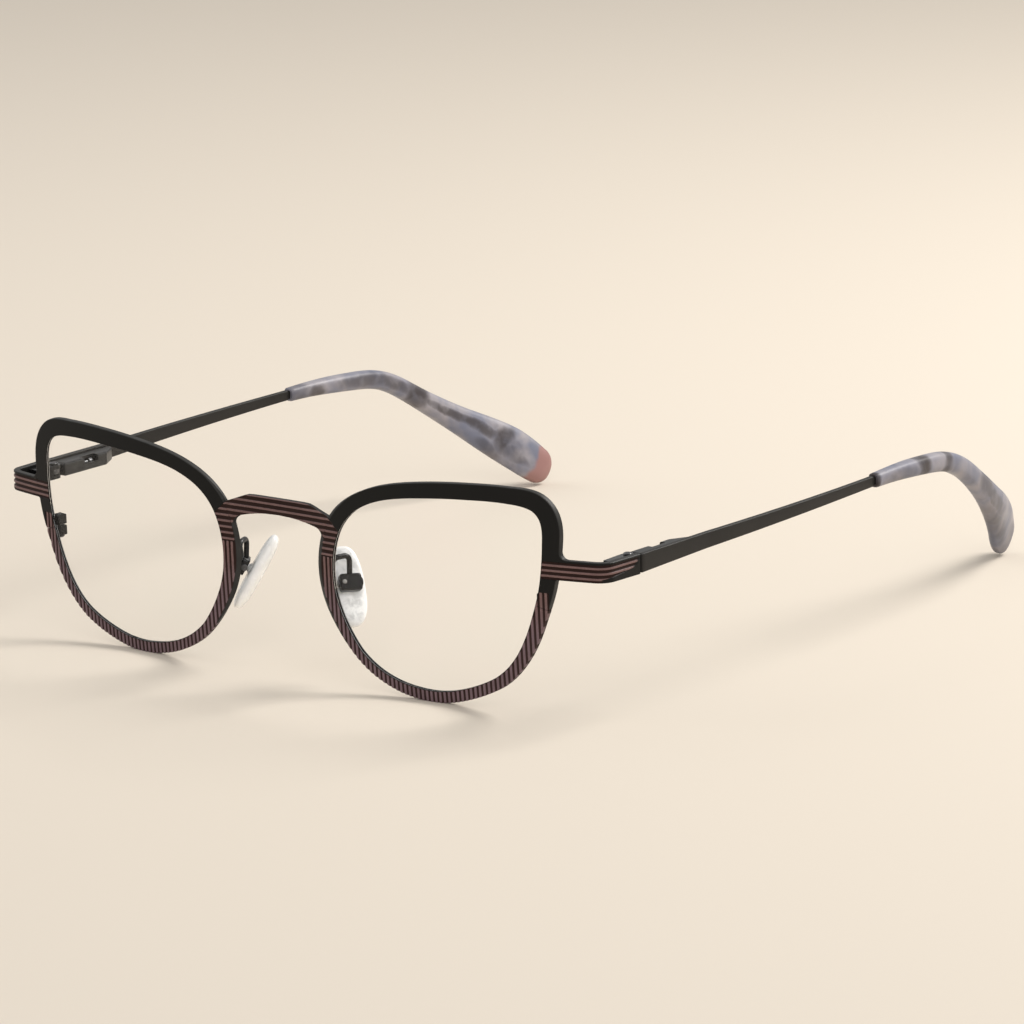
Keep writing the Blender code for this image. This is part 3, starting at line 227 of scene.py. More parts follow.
# Nose pads, their pivots and arms
PAD_LENGTH = 15.0 * MM
PAD_WIDTH = 6.6 * MM
PAD_THICKNESS = 2.9 * MM
PAD_BLUNTNESS = 2.6
PAD_SECTION = 0.72
PAD_EDGE_POWER = 0.42
PAD_DISH = 0.16
PAD_RIM_SIDES = (0.55, 0.4)
PAD_RIM_ENDS = (0.8, 0.2)
PAD_PIVOT = (12.0 * MM, 5.35 * MM, 18.1 * MM)
PAD_FRONTAL = math.radians(22.5)
PAD_LEAN = math.radians(20.0)
PAD_SPLAY = math.radians(36.0)
PAD_STANDOFF = 0.9 * MM
PAD_EGG_SHARE = 0.1
BOSS_RADIUS = 0.8 * MM
BOSS_WIDTH = 1.6 * MM
BOSS_NECK = 0.9 * MM
BOSS_BORE = 0.44 * MM
BOSS_CORNER = 0.14 * MM
NECK_CORNER = 0.2 * MM
NECK_FOOT = BOSS_RADIUS * 0.72
NECK_FLARE = 0.9
NECK_FLARE_FROM = PAD_STANDOFF * 0.7
NECK_FLARE_RUN = PAD_STANDOFF * 0.6
BOX_LENGTH = 3.1 * MM
BOX_WIDTH = 4.0 * MM
BOX_DEPTH = 1.6 * MM
BOX_SLOT_LENGTH = 2.3 * MM
BOX_SLOT_WIDTH = 2.0 * MM
BOX_FLOOR = 0.3 * MM
BOX_SOFT = 0.42 * MM
BOX_LIP = 0.12 * MM
STUD_RADIUS = 0.42 * MM
STUD_SHARE = 0.62
STUD_SUNK = 0.04 * MM
STUD_HEIGHT = 0.231 * MM
BARREL_RADIUS = 0.85 * MM
BARREL_DEEP = 0.85 * MM
BARREL_FROM = 1.2 * MM
BARREL_TO = 2.05 * MM
ARM_RADIUS = 0.5 * MM
ARM_FOOT_IN = 2.2 * MM
ARM_ROOT = 1.2 * MM
ARM_RISE = 3.0 * MM
ARM_LEAN_SHARE = 0.3
ARM_FALL = 3.5 * MM
ARM_BEND_RADIUS = 1.1 * MM
ARM_SUNK = 0.25 * MM
SOLDER = 0.1 * MM
TUBE_ASIDE = (0.31, 0.22, 0.92)
TUBE_DOMES = (0.6, 0.3)

# The photograph's view
VIEW_AZIMUTH = math.radians(36.87)
VIEW_ELEVATION = math.radians(13.32)
VIEW_ROLL = math.radians(-0.63)
VIEW_TARGET = (37.32 * MM, -75.19 * MM, 25.47 * MM)
VIEW_DISTANCE = 1246.1 * MM
VIEW_LENS = 250.94
VIEW_SHIFT = (0.05441, 0.05022)
VIEW_SENSOR = 36.0
VIEW_NEAREST = 10 * MM

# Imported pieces: dark and light tint, roughness, metallic, the grain's stretch, and the pieces
FITTINGS = {
    "gloss_black_metal": (((0.008, 0.008, 0.008), (0.026, 0.026, 0.027), 0.14, 0.6),
                          ("lock_upper", "lock_lower", "front_hinge")),
    "turned_steel": (((0.085, 0.085, 0.088), (0.19, 0.19, 0.195), 0.28, 1.0, (1, 1, 6)),
                     ("lock_screw", "hinge_screw", "hinge_slider", "spring_nut", "hinge_spring",
                      "pad_screw")),
    "grey_metal": (((0.022, 0.022, 0.022), (0.046, 0.045, 0.045), 0.28, 0.5, (3, 0.3, 3)),
                   ("hinge_housing", "housing_plug")),
}

# Lamps: name, place, size, power and tint, all aimed at the middle of the glasses
LAMPS = (("key", (0.30, 0.55, 0.62), 0.42, 7.5, (1.0, 0.97, 0.93)),
         ("fill", (0.75, -0.75, 0.55), 0.9, 5.0, (1.0, 0.98, 0.96)),
         ("side", (-0.8, -0.3, 0.5), 0.9, 2.5, (0.97, 0.98, 1.0)))
LAMP_TARGET = (0, -0.01, 0.02)
WORLD_TINT = (1.0, 0.985, 0.965)
WORLD_STRENGTH = 0.55
FLOOR_REACH = 6.0

WELD = 0.000001
SHARP = math.radians(38)
NEARLY_STRAIGHT = math.radians(160)


def length(name, description, value):
    """A length that a user may change; the value is in millimetres."""
    return FloatProperty(name=name, description=description, default=value * MM, unit="LENGTH")


def colour(name, description, *value):
    """A colour that a user may change."""
    return FloatVectorProperty(name=name, description=description, default=value, size=3,
                               subtype="COLOR", min=0.0, max=1.0)


class FrontSizes(PropertyGroup):
    """Sizes of the milled front that a user may change."""

    rim_width: length("Rim width", "Width of the rim's lower half", 2.1)
    brow_width: length("Brow width", "Width of the rim at the brow's corner", 3.6)
    sheet: length("Sheet thickness", "Thickness of the front's sheet", 1.1)
    groove: length("Groove depth", "Depth of the milled grooves", 0.22)
    notch: length("Edge notch", "How far grooves notch the lower rim's edge", 0.05)
    ridge: length("Ridge width", "Width of a ridge between two grooves", 0.42)
    lower_ridge: length("Lower ridge width", "Width of a ridge on the lower rims", 0.49)
    wall: length("Groove wall", "Width of a groove's sloping wall", 0.16)
    upright_pitch: length("Upright pitch", "Spacing of the lower rim's stripes", 0.915)
    level_pitch: length("Level pitch", "Spacing of the bridge's stripes", 1.07)
    end_pitch: length("End piece pitch", "Spacing of the end piece's stripes", 0.95)


class Colours(PropertyGroup):
    """Colours of the finishes and of the stage."""

    black: colour("Black", "Matte black of the front", 0.0060, 0.0058, 0.0054)
    # Lighter grey of the front's edges and outer sides: partly wear, partly a painted highlight
    worn: colour("Worn edge", "Lighter grey along the front's edges", 0.046, 0.045, 0.043)
    ridge: colour("Ridges", "Mauve of the bridge's ridges", 0.196, 0.120, 0.113)
    lower_ridge: colour("Lower ridges", "Mauve of the lower rims' ridges", 0.190, 0.130, 0.146)
    cut: colour("Grooves", "Dark brown in the grooves", 0.0190, 0.0070, 0.0050)
    lower_cut: colour("Lower grooves", "Brown in the lower rims' grooves", 0.034, 0.0165, 0.0150)
    charcoal: colour("Temples", "Dark grey of the temples", 0.0145, 0.0133, 0.0122)
    pale: colour("Pale acetate", "Pale clouds of the tips", 0.330, 0.306, 0.322)
    lilac: colour("Lilac acetate", "Bluish body of the tips", 0.150, 0.160, 0.215)
    # The vein colour also paints the shade at the left tip's mouth
    vein: colour("Veins", "Dark veins of the tips", 0.038, 0.030, 0.030)
    rose: colour("Rose end", "Pink end of one tip", 0.31, 0.158, 0.138)
    pad: colour("Pads", "Milky body of the nose pads", 0.93, 0.94, 0.93)
    floor: colour("Floor", "Pale floor", 0.64, 0.575, 0.49)


def sizes():
    """The front's sizes as the user has set them."""
    return bpy.context.scene.glasses_front


def colours():
    """The colours as the user has set them."""
    return bpy.context.scene.glasses_colours


# Shapes shared by the pieces


def smooth(share):
    """An even step from 0 to 1: three times the square less twice the cube of the share."""
    share = np.clip(share, 0, 1)
    return share * share * (3 - 2 * share)


def fillet_share(distance, radius):
    """A quarter circle from 1 at no distance down to 0 at the radius, level at the radius."""
    left = 1 - np.clip(distance / radius, 0, 1)
    return 1 - np.sqrt(np.clip(1 - left ** 2, 0, 1))


def powered(value, power):
    """A number's size raised to a power, with the number's own sign."""
    return np.sign(value) * np.abs(value) ** power


def unit(vectors):
    """The directions of vectors, at a length of one."""
    return vectors / np.linalg.norm(vectors, axis=-1, keepdims=True)


def turns(count):
    """Even angles round a circle."""
    return np.linspace(0, 2 * math.pi, count, endpoint=False)


def spread(*parts):
    """Numbers or arrays side by side as the columns of one array, repeated where needed."""
    return np.stack(np.broadcast_arrays(*parts), axis=-1)


def catmull_rom(points, steps, closed):
    """Centripetal Catmull-Rom spline: knots lie the square roots of the distances apart.

    Each level blends neighbouring points in proportion to the distance from their knots.
    """
    if closed:
        rows = [np.roll(points, 1 - k, axis=0) for k in range(4)]
    else:
        points = np.vstack([2 * points[0] - points[1], points, 2 * points[-1] - points[-2]])
        rows = [points[k:len(points) - 3 + k] for k in range(4)]
    gaps = [np.linalg.norm((q - p)[:, :2], axis=1) ** 0.5 for p, q in zip(rows, rows[1:])]
    knots = np.cumsum([np.zeros_like(gaps[0]), *gaps], axis=0)[..., None, None]
    share = np.linspace(0, 1, steps, endpoint=False)[None, :, None]
    here = knots[1] + share * (knots[2] - knots[1])
    rows = [row[:, None, :] for row in rows]
    for level in (1, 2, 3):
        rows = [((knots[k + level] - here) * rows[k] + (here - knots[k]) * rows[k + 1])
                / (knots[k + level] - knots[k]) for k in range(4 - level)]
    curve = rows[0].reshape(-1, points.shape[1])
    return curve if closed else np.vstack([curve, points[-2]])


def length_along(path):
    """Distance along a path from its first point to each point."""
    return np.concatenate([[0.0], np.cumsum(np.linalg.norm(np.diff(path, axis=0), axis=1))])


def at_lengths(path, lengths, along=None):
    """A path's rows at given distances along it, by straight interpolation."""
    along = length_along(path) if along is None else along
    return np.stack([np.interp(lengths, along, column) for column in path.T], axis=-1)


def evenly(path, count):
    """A path's places at even spacing."""
    return at_lengths(path, np.linspace(0, length_along(path)[-1], count))


def directions(path):
    """Unit directions along a path, from each point's neighbours."""
    return unit(np.gradient(path, axis=0))


def rounded_path(points, radius, steps):
    """A path whose corners are arcs of one radius, save where it is nearly straight."""
    points = np.array(points)
    path = [points[:1]]
    for before, corner, after in zip(points[:-2], points[1:-1], points[2:]):
        back, ahead = unit(before - corner), unit(after - corner)
        half = math.acos(float(np.clip(back @ ahead, -1, 1))) / 2
        if 2 * half > NEARLY_STRAIGHT:
            path.append([corner])
            continue
        centre = corner + unit(back + ahead) * radius / math.sin(half)
        start, end = (corner + way * radius / math.tan(half) - centre for way in (back, ahead))
        turn = math.pi - 2 * half
        share = np.linspace(0, 1, steps)[:, None]
        arc = start * np.sin(turn * (1 - share)) + end * np.sin(turn * share)
        path.append(centre + arc / math.sin(turn))
    return np.vstack([*path, points[-1:]])


def rounded_section(half_width, half_height, radius, steps=5):
    """Rectangles with round corners, as points round each: quarter circles about its corners."""
    wide, high, radius = (np.asarray(n)[..., None] for n in (half_width, half_height, radius))
    corner = np.arange(4).repeat(steps)
    turn = corner * math.pi / 2 + np.tile(np.linspace(0, math.pi / 2, steps), 4)
    return spread(np.where(corner % 3 == 0, 1, -1) * (wide - radius) + radius * np.cos(turn),
                  np.where(corner < 2, 1, -1) * (high - radius) + radius * np.sin(turn))


def oval(half_width, half_height, roundness=TIP_ROUNDNESS):
    """Ellipses raised to a power, nearer a rectangle the lower it is, as points round each."""
    turn = turns(TIP_SIDES)
    wide, high = np.asarray(half_width)[..., None], np.asarray(half_height)[..., None]
    return spread(wide * powered(np.cos(turn), roundness), high * powered(np.sin(turn), roundness))


def swept(centres, out, up, section):
    """Sections at centres, as a grid: their first measure runs outward, their second upward."""
    return centres[:, None] + section[..., 1:] * up[:, None] + section[..., :1] * out[:, None]


class Shell:
    """Points and faces of a piece in the making, as whole arrays."""

    def __init__(self, points=None, **options):
        self.points, self.faces, self.marks, self.caps, self.count = [], [], [], [], 0
        if points is not None:
            self.add(points, **options)

    def add(self, points, wrap_rows=False, wrap_columns=True, marks=0.0, keep=None, caps=()):
        """Add a grid of points and give their numbers.

        A wrapped grid is closed on itself. Marks are four numbers for each point, keep chooses
        faces, and caps are rows that one face closes.
        """
        rows, columns = points.shape[:2]
        numbers = self.count + np.arange(rows * columns).reshape(rows, columns)
        grid = np.vstack([numbers, numbers[:1]]) if wrap_rows else numbers
        grid = np.hstack([grid, grid[:, :1]]) if wrap_columns else grid
        corners = grid[:-1, :-1], grid[1:, :-1], grid[1:, 1:], grid[:-1, 1:]
        faces = np.stack(corners, axis=-1).reshape(-1, 4)
        self.faces.append(faces if keep is None else faces[keep.ravel()])
        self.points.append(points.reshape(-1, 3))
        self.marks.append(np.broadcast_to(marks, (rows, columns, 4)).reshape(-1, 4))
        self.caps += [numbers[row].tolist() for row in caps]
        self.count += rows * columns
        return numbers

    def mirrored(self):
        """Add the mirror image across X = 0 of all that is here."""
        self.points += [p * (-1, 1, 1) for p in self.points]
        self.faces += [f[:, ::-1] + self.count for f in self.faces]
        self.marks *= 2
        self.caps += [[n + self.count for n in cap[::-1]] for cap in self.caps]
        self.count *= 2
        return self


def new_object(name, data):
    """A new object, linked into the scene."""
    made = bpy.data.objects.new(name, data)
    bpy.context.scene.collection.objects.link(made)
    return made


def make_piece(name, shell, material, body, node, flip=False, marked=None):
    """Weld a shell into a mesh piece, right side out, and tell the frame what it stands for."""
    points = np.vstack(shell.points) * (-1 if flip else 1, 1, 1) + (0, FACE_BACK, 0)
    mesh = bpy.data.meshes.new(name)
    mesh.from_pydata(points.tolist(), [], np.vstack(shell.faces).tolist() + shell.caps)
    if marked:
        layer = mesh.attributes.new(marked, "FLOAT_COLOR", "POINT")
        layer.data.foreach_set("color", np.vstack(shell.marks).astype(np.float32).ravel())
    bm = bmesh.new()
    bm.from_mesh(mesh)
    bmesh.ops.remove_doubles(bm, verts=bm.verts, dist=WELD)
    bmesh.ops.dissolve_degenerate(bm, edges=bm.edges, dist=WELD / 10)
    bmesh.ops.recalc_face_normals(bm, faces=bm.faces)
    if bm.calc_volume(signed=True) < 0:
        bmesh.ops.reverse_faces(bm, faces=bm.faces)
    bm.to_mesh(mesh)
    bm.free()
    mesh.shade_smooth()
    mesh.set_sharp_from_angle(angle=SHARP)
    piece = new_object(name, mesh)
    mesh.materials.append(material)
    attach(piece, body)
    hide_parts(node)
    return piece


def make_pair(name, shell, materials, body, node, marked=None):
    """Make the left piece and its mirror image; braces in a name stand for the side."""
    return [make_piece(name.format(side), shell, material, body.format(side),
                       node.format(side), side == "right", marked)
            for side, material in zip(SIDES, materials)]


# The milled front


def sag(across, up):
    """How far the front's face lies behind its own plane.

    The slope of the wrap and the circles of the lens across and up, each a square over twice
    its radius; between the rims the slope fades evenly to nothing at the middle.
    """
    joint = BRIDGE_GAP / 2
    off = np.maximum(np.abs(across), joint) - LENS_ACROSS
    depth = np.tan(FRONT_WRAP) * off + off ** 2 / (2 * RADIUS_ACROSS) + up ** 2 / (2 * RADIUS_UP)
    slope = np.tan(FRONT_WRAP) + (joint - LENS_ACROSS) / RADIUS_ACROSS
    inside = np.minimum(np.abs(across), joint)
    return depth - slope * (joint ** 2 - inside ** 2) / (2 * joint)


def front_point(across, up, depth=0.0):
    """A place from across, up and depth: the bent face, leaned forward by the front's tilt."""
    back = sag(across, up) + depth
    sin, cos = math.sin(FRONT_TILT), math.cos(FRONT_TILT)
    return spread(across, back * cos - up * sin, LENS_CENTRE_HEIGHT + up * cos + back * sin)


def opening_rows():
    """Dense rows of the opening's outline from above its slit round to below it.

    Each row holds across, up, the share of the brow's width and the share of the flange.
    """
    table = np.array(OUTLINE_SHARES) * (LENS_WIDTH, LENS_HEIGHT, 1, 1)
    rows = catmull_rom(table + (BRIDGE_GAP / 2, -LENS_HEIGHT / 2, 0, 0), OUTLINE_STEPS, True)
    rising = (rows[:, 1] < 0) & (np.roll(rows[:, 1], -1) >= 0) & (rows[:, 0] > LENS_ACROSS)
    return np.roll(rows, -int(np.argmax(rising)) - 1, axis=0)


def outward(path):
    """Unit normals of a counterclockwise path in its plane, pointing away from its inside."""
    along = directions(path[:, :2])
    return spread(along[:, 1], -along[:, 0])


def rim_columns():
    """The outline at the spacing that the stripes need: fine where it is milled."""
    rows = opening_rows()
    along = length_along(rows[:, :2])
    many = OUTLINE_STEPS
    start = np.interp(SLIT / 2, rows[:many, 1], along[:many])
    end = np.interp(-SLIT / 2, rows[-many:, 1], along[-many:])
    spots = np.linspace(start, end, RIM_SAMPLES)
    up = np.interp(spots, along, rows[:, 1])
    spacing = np.where(up > FINE_BELOW, COARSE_STEP, FINE_STEP)
    blur = np.full(2 * RIM_BLUR + 1, 1 / (2 * RIM_BLUR + 1))
    spacing = np.convolve(np.pad(spacing, RIM_BLUR, mode="edge"), blur, mode="valid")
    count = np.concatenate([[0.0], np.cumsum(np.diff(spots) / spacing[1:])])
    spots = np.interp(np.linspace(0, count[-1], int(round(count[-1])) + 1), count, spots)
    columns = at_lengths(rows, spots, along)
    columns[:, 3] = np.clip(columns[:, 3], 0, 1)
    return columns


def ridge_share(level, first, pitch, width):
    """1 on a ridge and 0 in a groove: the distance to the nearest ridge, cut off softly."""
    turn = (level - first) / pitch
    apart = np.abs(turn - np.round(turn)) * pitch
    return smooth((width / 2 + sizes().wall / 2 - apart) / sizes().wall)


def milled(across, height, reach):
    """How much of the ridges' mauve and of a groove there is at a place on the face.

    Three sets of stripes: upright ones on the lower rims, level ones beside and on the bridge
    up to a slanted line, and level ones from the rim's temporal side round the end piece,
    whose ridges stop one after another along the reach. Each set is faded out at its ends.
    """
    size = sizes()
    nasal = across < NASAL_SIDE
    top = np.where(nasal, UPRIGHT_TOP_NASAL, UPRIGHT_TOP_TEMPORAL)
    below = smooth((top - height) / RUN_OUT + 0.5)
    upright = below * smooth((UPRIGHT_LAST - across) / EDGE)
    slope = (SLANT_HEAD[1] - SLANT_FOOT[1]) / (SLANT_FOOT[0] - SLANT_HEAD[0])
    slant = np.where(across < SLANT_HEAD[0], 1.0, SLANT_FOOT[1] + (SLANT_FOOT[0] - across) * slope)
    level = nasal * (1 - below) * smooth((slant - height) / RUN_OUT + 0.5)
    stop = smooth((np.interp(height, END_RIDGE_HEIGHTS, END_RIDGE_REACH) - reach) / END_RUN_OUT)
    end = smooth((height - END_GROOVES[0]) / EDGE) * smooth((END_GROOVES[1] - height) / EDGE)
    low = END_RIDGE_HEIGHTS[0] - size.end_pitch / 2
    high = END_RIDGE_HEIGHTS[-1] + size.end_pitch / 2
    bar = ridge_share(height, END_RIDGE_HEIGHTS[0], size.end_pitch, size.ridge)
    stripes = ((ridge_share(across, UPRIGHT_FIRST, size.upright_pitch, size.lower_ridge), upright),
               (ridge_share(height, LEVEL_FIRST, size.level_pitch, size.ridge), level),
               (bar * (height > low) * (height < high), end * ~nasal * stop))
    return (np.maximum.reduce([ridge * share for ridge, share in stripes]),
            np.maximum.reduce([(1 - ridge) * share for ridge, share in stripes]))


def rim_section(columns):
    """The rim's section at each column, as offsets outward and depths, row by row.

    It runs over the face from the lens outward, down the bevel or flange, along the outer
    wall, back over the rear face, and round the lens groove to its start.
    """
    width = sizes().rim_width + (sizes().brow_width - sizes().rim_width) * columns[:, 2]
    flange = columns[:, 3]
    outer = width + FLANGE_WIDTH * flange
    bevel = EDGE + FLANGE_WIDTH * flange
    bevel_depth = EDGE + FLANGE_DEPTH * flange
    undercut = FLANGE_WIDTH * FLANGE_UNDERCUT * flange
    deep, middle = sizes().sheet, sizes().sheet / 2
    rows = [(SOFT_EDGE + (outer - bevel - SOFT_EDGE) * share, 0.0)
            for share in np.linspace(0, 1, FACE_ROWS)]
    rows += [(outer - bevel * (1 - share), bevel_depth * share) for share in THIRDS]
    rows += [(outer - undercut * share, bevel_depth + (deep - SOFT_EDGE - bevel_depth) * share)
             for share in THIRDS]
    rows += [(outer - undercut - SOFT_EDGE, deep)]
    rear = len(rows) - 1
    rows += [(SOFT_EDGE, deep), (0.0, deep - SOFT_EDGE), (0.0, deep - LIP),
             (LENS_GROOVE, middle + LENS_GROOVE_FLOOR / 2),
             (LENS_GROOVE, middle - LENS_GROOVE_FLOOR / 2), (0.0, LIP), (0.0, SOFT_EDGE)]
    table = np.array([np.broadcast_arrays(*row, width)[:2] for row in rows])
    return table[:, 0], table[:, 1], rear


def seam_range(columns, edge, heights, nasal):
    """First and last column whose outer edge lies in a range of heights on one side."""
    side = (columns[:, 0] < LENS_ACROSS) == nasal
    numbers = np.flatnonzero(side & (edge >= heights[0]) & (edge <= heights[1]))
    return int(numbers[0]), int(numbers[-1])


def seam_ring(face_row, rear_row, start, end):
    """Rows, columns and sides of the points round a hole in the rim's outer side.

    Along the face's edge, down the side of the last column, back along the rear edge, and up
    the side of the first column.
    """
    columns = np.arange(start, end + 1)
    down = np.arange(face_row + 1, rear_row)
    runs = (face_row, columns), (down, end), (rear_row, columns[::-1]), (down[::-1], start)
    return np.concatenate([np.broadcast_arrays(*run, side) for side, run in enumerate(runs)],
                          axis=1)


def ring_profile(kind, up, thickness):
    """Each ring point's share of the height, its inset from the edge and its depth.

    The first side is the face and the third the rear. The second and fourth are the edges:
    each keeps the height at which the side before it ends, and runs through the thickness.
    """
    share, depth = np.zeros(len(kind)), np.where(kind == 2, thickness, 0.0)
    for side in range(4):
        here = kind == side
        run = up[here]
        if side in (0, 2):
            share[here] = (run - run.min()) / (run.max() - run.min())
        else:
            share[here] = share[here.argmax() - 1] > 0.5
            depth[here] = np.linspace(EDGE, thickness - EDGE, len(run))[::2 - side]
    return share, np.where(kind % 2 == 0, EDGE, 0.0), depth


def ring_distances(fillet, step, reach):
    """Distances of a tube's rings from its seam: crowded over the fillet, then even."""
    near = fillet * (1 - np.cos(np.linspace(0, math.pi / 2, 9)))
    count = max(2, int(round((reach - near[-1]) / step)))
    return np.concatenate([near, np.linspace(near[-1], reach, count + 1)[1:]])


def add_bridge(shell, kind, across, up, depth):
    """Half the bridge, from the left rim to the middle, where its mirror image meets it.

    Rings of points run straight across from the seam to the middle. Their heights lie between
    the bridge's top and bottom curves, plus what is left of the seam's own height, which
    fades along a quarter circle.
    """
    share, inset, plain_depth = ring_profile(kind, up, sizes().sheet)
    distances = ring_distances(BRIDGE_FILLETS[0], BRIDGE_STEP, across.max())
    part = (distances / across.max())[:, None]
    here, gone = across * (1 - part), across * part
    top, low = (np.interp(here, *(np.array(curve).T * MM)) for curve in (BRIDGE_TOP, BRIDGE_LOW))
    plain = low + inset + (top - low - 2 * inset) * share
    height = plain + (up - plain) * fillet_share(gone, np.interp(share, (0, 1), BRIDGE_FILLETS))
    deep = plain_depth + (depth - plain_depth) * (1 - smooth(gone / BRIDGE_DEPTH_EASE))
    mauve, cut = milled(here, front_point(here, height)[..., 2], 0.0)
    on_face = (kind == 0) | ((kind != 2) & (deep < sizes().groove * BRIDGE_FACE_DEPTH))
    deep = np.where(on_face, np.maximum(deep, sizes().groove * cut), deep)
    deep[0] = depth
    shell.add(front_point(here, height, deep),
              marks=spread(mauve * on_face, cut * on_face, kind % 2 * BRIDGE_WEAR_AND_SHEEN, 0.0))


def end_path():
    """The end piece's outer face in plan, from on the rim round the corner to the hinge."""
    face = front_point(np.linspace(END_INSIDE, END_WALL_REACH, 5), END_RISE)[:, :2]
    end = (END_REACH + END_FLARE, HINGE_BACK - HINGE_SEAM / 2)
    return rounded_path([*face, end], END_BEND_RADIUS, 16)


def add_end_piece(shell, kind, across, up, spots):
    """The end piece, from the rim round the corner to the hinge.

    Each ring point runs along the outer face in plan at its own depth, at a height between
    the strip's edges, plus what is left of its own place on the seam, which fades along a
    quarter circle.
    """
    share, inset, depth = ring_profile(kind, up, END_THICKNESS)
    path = end_path()
    along = length_along(path)
    start = np.interp(across, path[:, 0], along)
    distances = ring_distances(END_FILLETS[1], END_STEP, along[-1] - start.min())
    gone = (distances / distances[-1])[:, None] * (along[-1] - start)
    here = start + gone
    spot, facing = at_lengths(path, here), at_lengths(directions(path), here, along)
    height = END_CENTRE_HEIGHT + (END_HEIGHT / 2 - inset) * (2 * share - 1)
    radius = np.interp(share, (0, 1), END_FILLETS)
    height = height + (spots[:, 2] - height) * fillet_share(gone, radius)
    mauve, cut = milled(np.full_like(here, LENS_ACROSS * 2), height, here)
    on_face = kind == 0
    depth = np.where(on_face, np.maximum(depth, sizes().groove * cut), depth)
    points = spread(spot[..., 0] - facing[..., 1] * depth, spot[..., 1] + facing[..., 0] * depth,
                    height)
    keep = 1 - smooth(gone / END_PLAN_EASE)
    points[..., :2] += (spots[:, :2] - points[0, :, :2]) * keep[..., None]
    points[0] = spots
    marks = spread(mauve * on_face, cut * on_face, kind % 2 * END_WEAR_AND_SHEEN, 0.0)
    shell.add(points, marks=marks, caps=[-1])


def front_shell():
    """Half the front: the rim round its lens, half the bridge and the end piece, as one skin."""
    columns = rim_columns()
    normals = outward(columns)
    offset, depth, rear = rim_section(columns)
    across = columns[:, 0] + normals[:, 0] * offset
    up = columns[:, 1] + normals[:, 1] * offset
    height = front_point(across, up)[..., 2]
    mauve, cut = milled(across, height, across - END_INSIDE)
    rows = np.arange(len(offset))[:, None]
    face = FACE_ROWS - 1
    bevel = face + len(THIRDS)
    teeth = (rows > face) & (rows < bevel + 3)
    lower = up < UPRIGHT_TOP_TEMPORAL - LENS_CENTRE_HEIGHT
    flange = columns[:, 3]
    notch = np.where(teeth & lower, sizes().notch * cut, 0.0) * (1 - flange)
    across = across - normals[:, 0] * notch
    up = up - normals[:, 1] * notch
    lens_side = smooth((offset - SOFT_EDGE / 2) / EDGE)
    depth = np.where(rows <= bevel, np.maximum(depth, sizes().groove * cut * lens_side), depth)
    plain = 1 - smooth((flange - FLANGE_SHOWN[0]) / FLANGE_SHOWN[1]) * (rows > face)
    shown = ((rows <= bevel) | teeth) * plain * lens_side
    low = smooth((LENS_CENTRE_HEIGHT - height + TINT_ABOVE) / TINT_RUN)
    # The third mark paints the bevel and outer wall lighter grey, partly as wear and partly as a
    # painted highlight
    marks = spread(mauve * shown, cut * shown, (rows > face) & (rows <= rear), low)
    points = front_point(across, up, depth)
    bridge = seam_range(columns, up[face], BRIDGE_SEAM, True)
    end = seam_range(columns, height[face], END_SEAM, False)
    keep = np.ones((len(rows), len(columns) - 1), dtype=bool)
    for start, stop in (bridge, end):
        keep[face:rear, start:stop] = False
    shell = Shell()
    numbers = shell.add(points, wrap_rows=True, wrap_columns=False, marks=marks, keep=keep)
    shell.caps += numbers[:, [0, -1]].T.tolist()
    *ring, kind = seam_ring(face, rear, *bridge)
    add_bridge(shell, kind, *(grid[tuple(ring)] for grid in (across, up, depth)))
    *ring, kind = seam_ring(face, rear, *end)
    add_end_piece(shell, kind, *(grid[tuple(ring)] for grid in (across, up, points)))
    return shell.mirrored()


# Lenses


def lens_shell():
    """A lens: rings from its front pole over the bevelled edge to its rear pole."""
    rows = evenly(opening_rows()[:, :2], LENS_POINTS)
    normals = outward(np.vstack([rows[-1:], rows, rows[:1]]))[1:-1]
    centre = np.array([LENS_ACROSS, 0.0])
    middle = sizes().sheet / 2
    face, back = middle - LENS_THICKNESS / 2, middle + LENS_THICKNESS / 2
    inner = [*np.linspace(0, 1, LENS_RINGS, endpoint=False), LENS_LAST_RING, 1.0]
    profile = [(share, 0.0, face) for share in inner]
    profile += [(1.0, 0.0, face + LENS_SHOULDER), (1.0, LENS_BEVEL, middle),
                (1.0, 0.0, back - LENS_SHOULDER)]
    profile += [(share, 0.0, back) for share in inner[::-1]]
    share, offset, depth = np.array(profile).T[..., None, None]
    spots = centre + (rows - normals * LENS_CLEARANCE - centre) * share + normals * offset
    return Shell(front_point(spots[..., 0], spots[..., 1], depth[..., 0]))


# Nose pads and their arms


def pad_axes():
    """The nose pad's pivot and its short, long and facing directions, as rows of a matrix."""
    long = np.array([-math.sin(PAD_FRONTAL), math.cos(PAD_FRONTAL) * math.sin(PAD_LEAN),
                     math.cos(PAD_FRONTAL) * math.cos(PAD_LEAN)])
    short = np.array([-math.sin(PAD_SPLAY), -math.cos(PAD_SPLAY), 0.0])
    short = unit(short - long * (short @ long))
    return np.array(PAD_PIVOT), np.array([short, long, np.cross(short, long)])


def in_pad_axes(local):
    """Points given along the pad's short, long and facing directions, put in place."""
    pivot, axes = pad_axes()
    return pivot + local @ axes


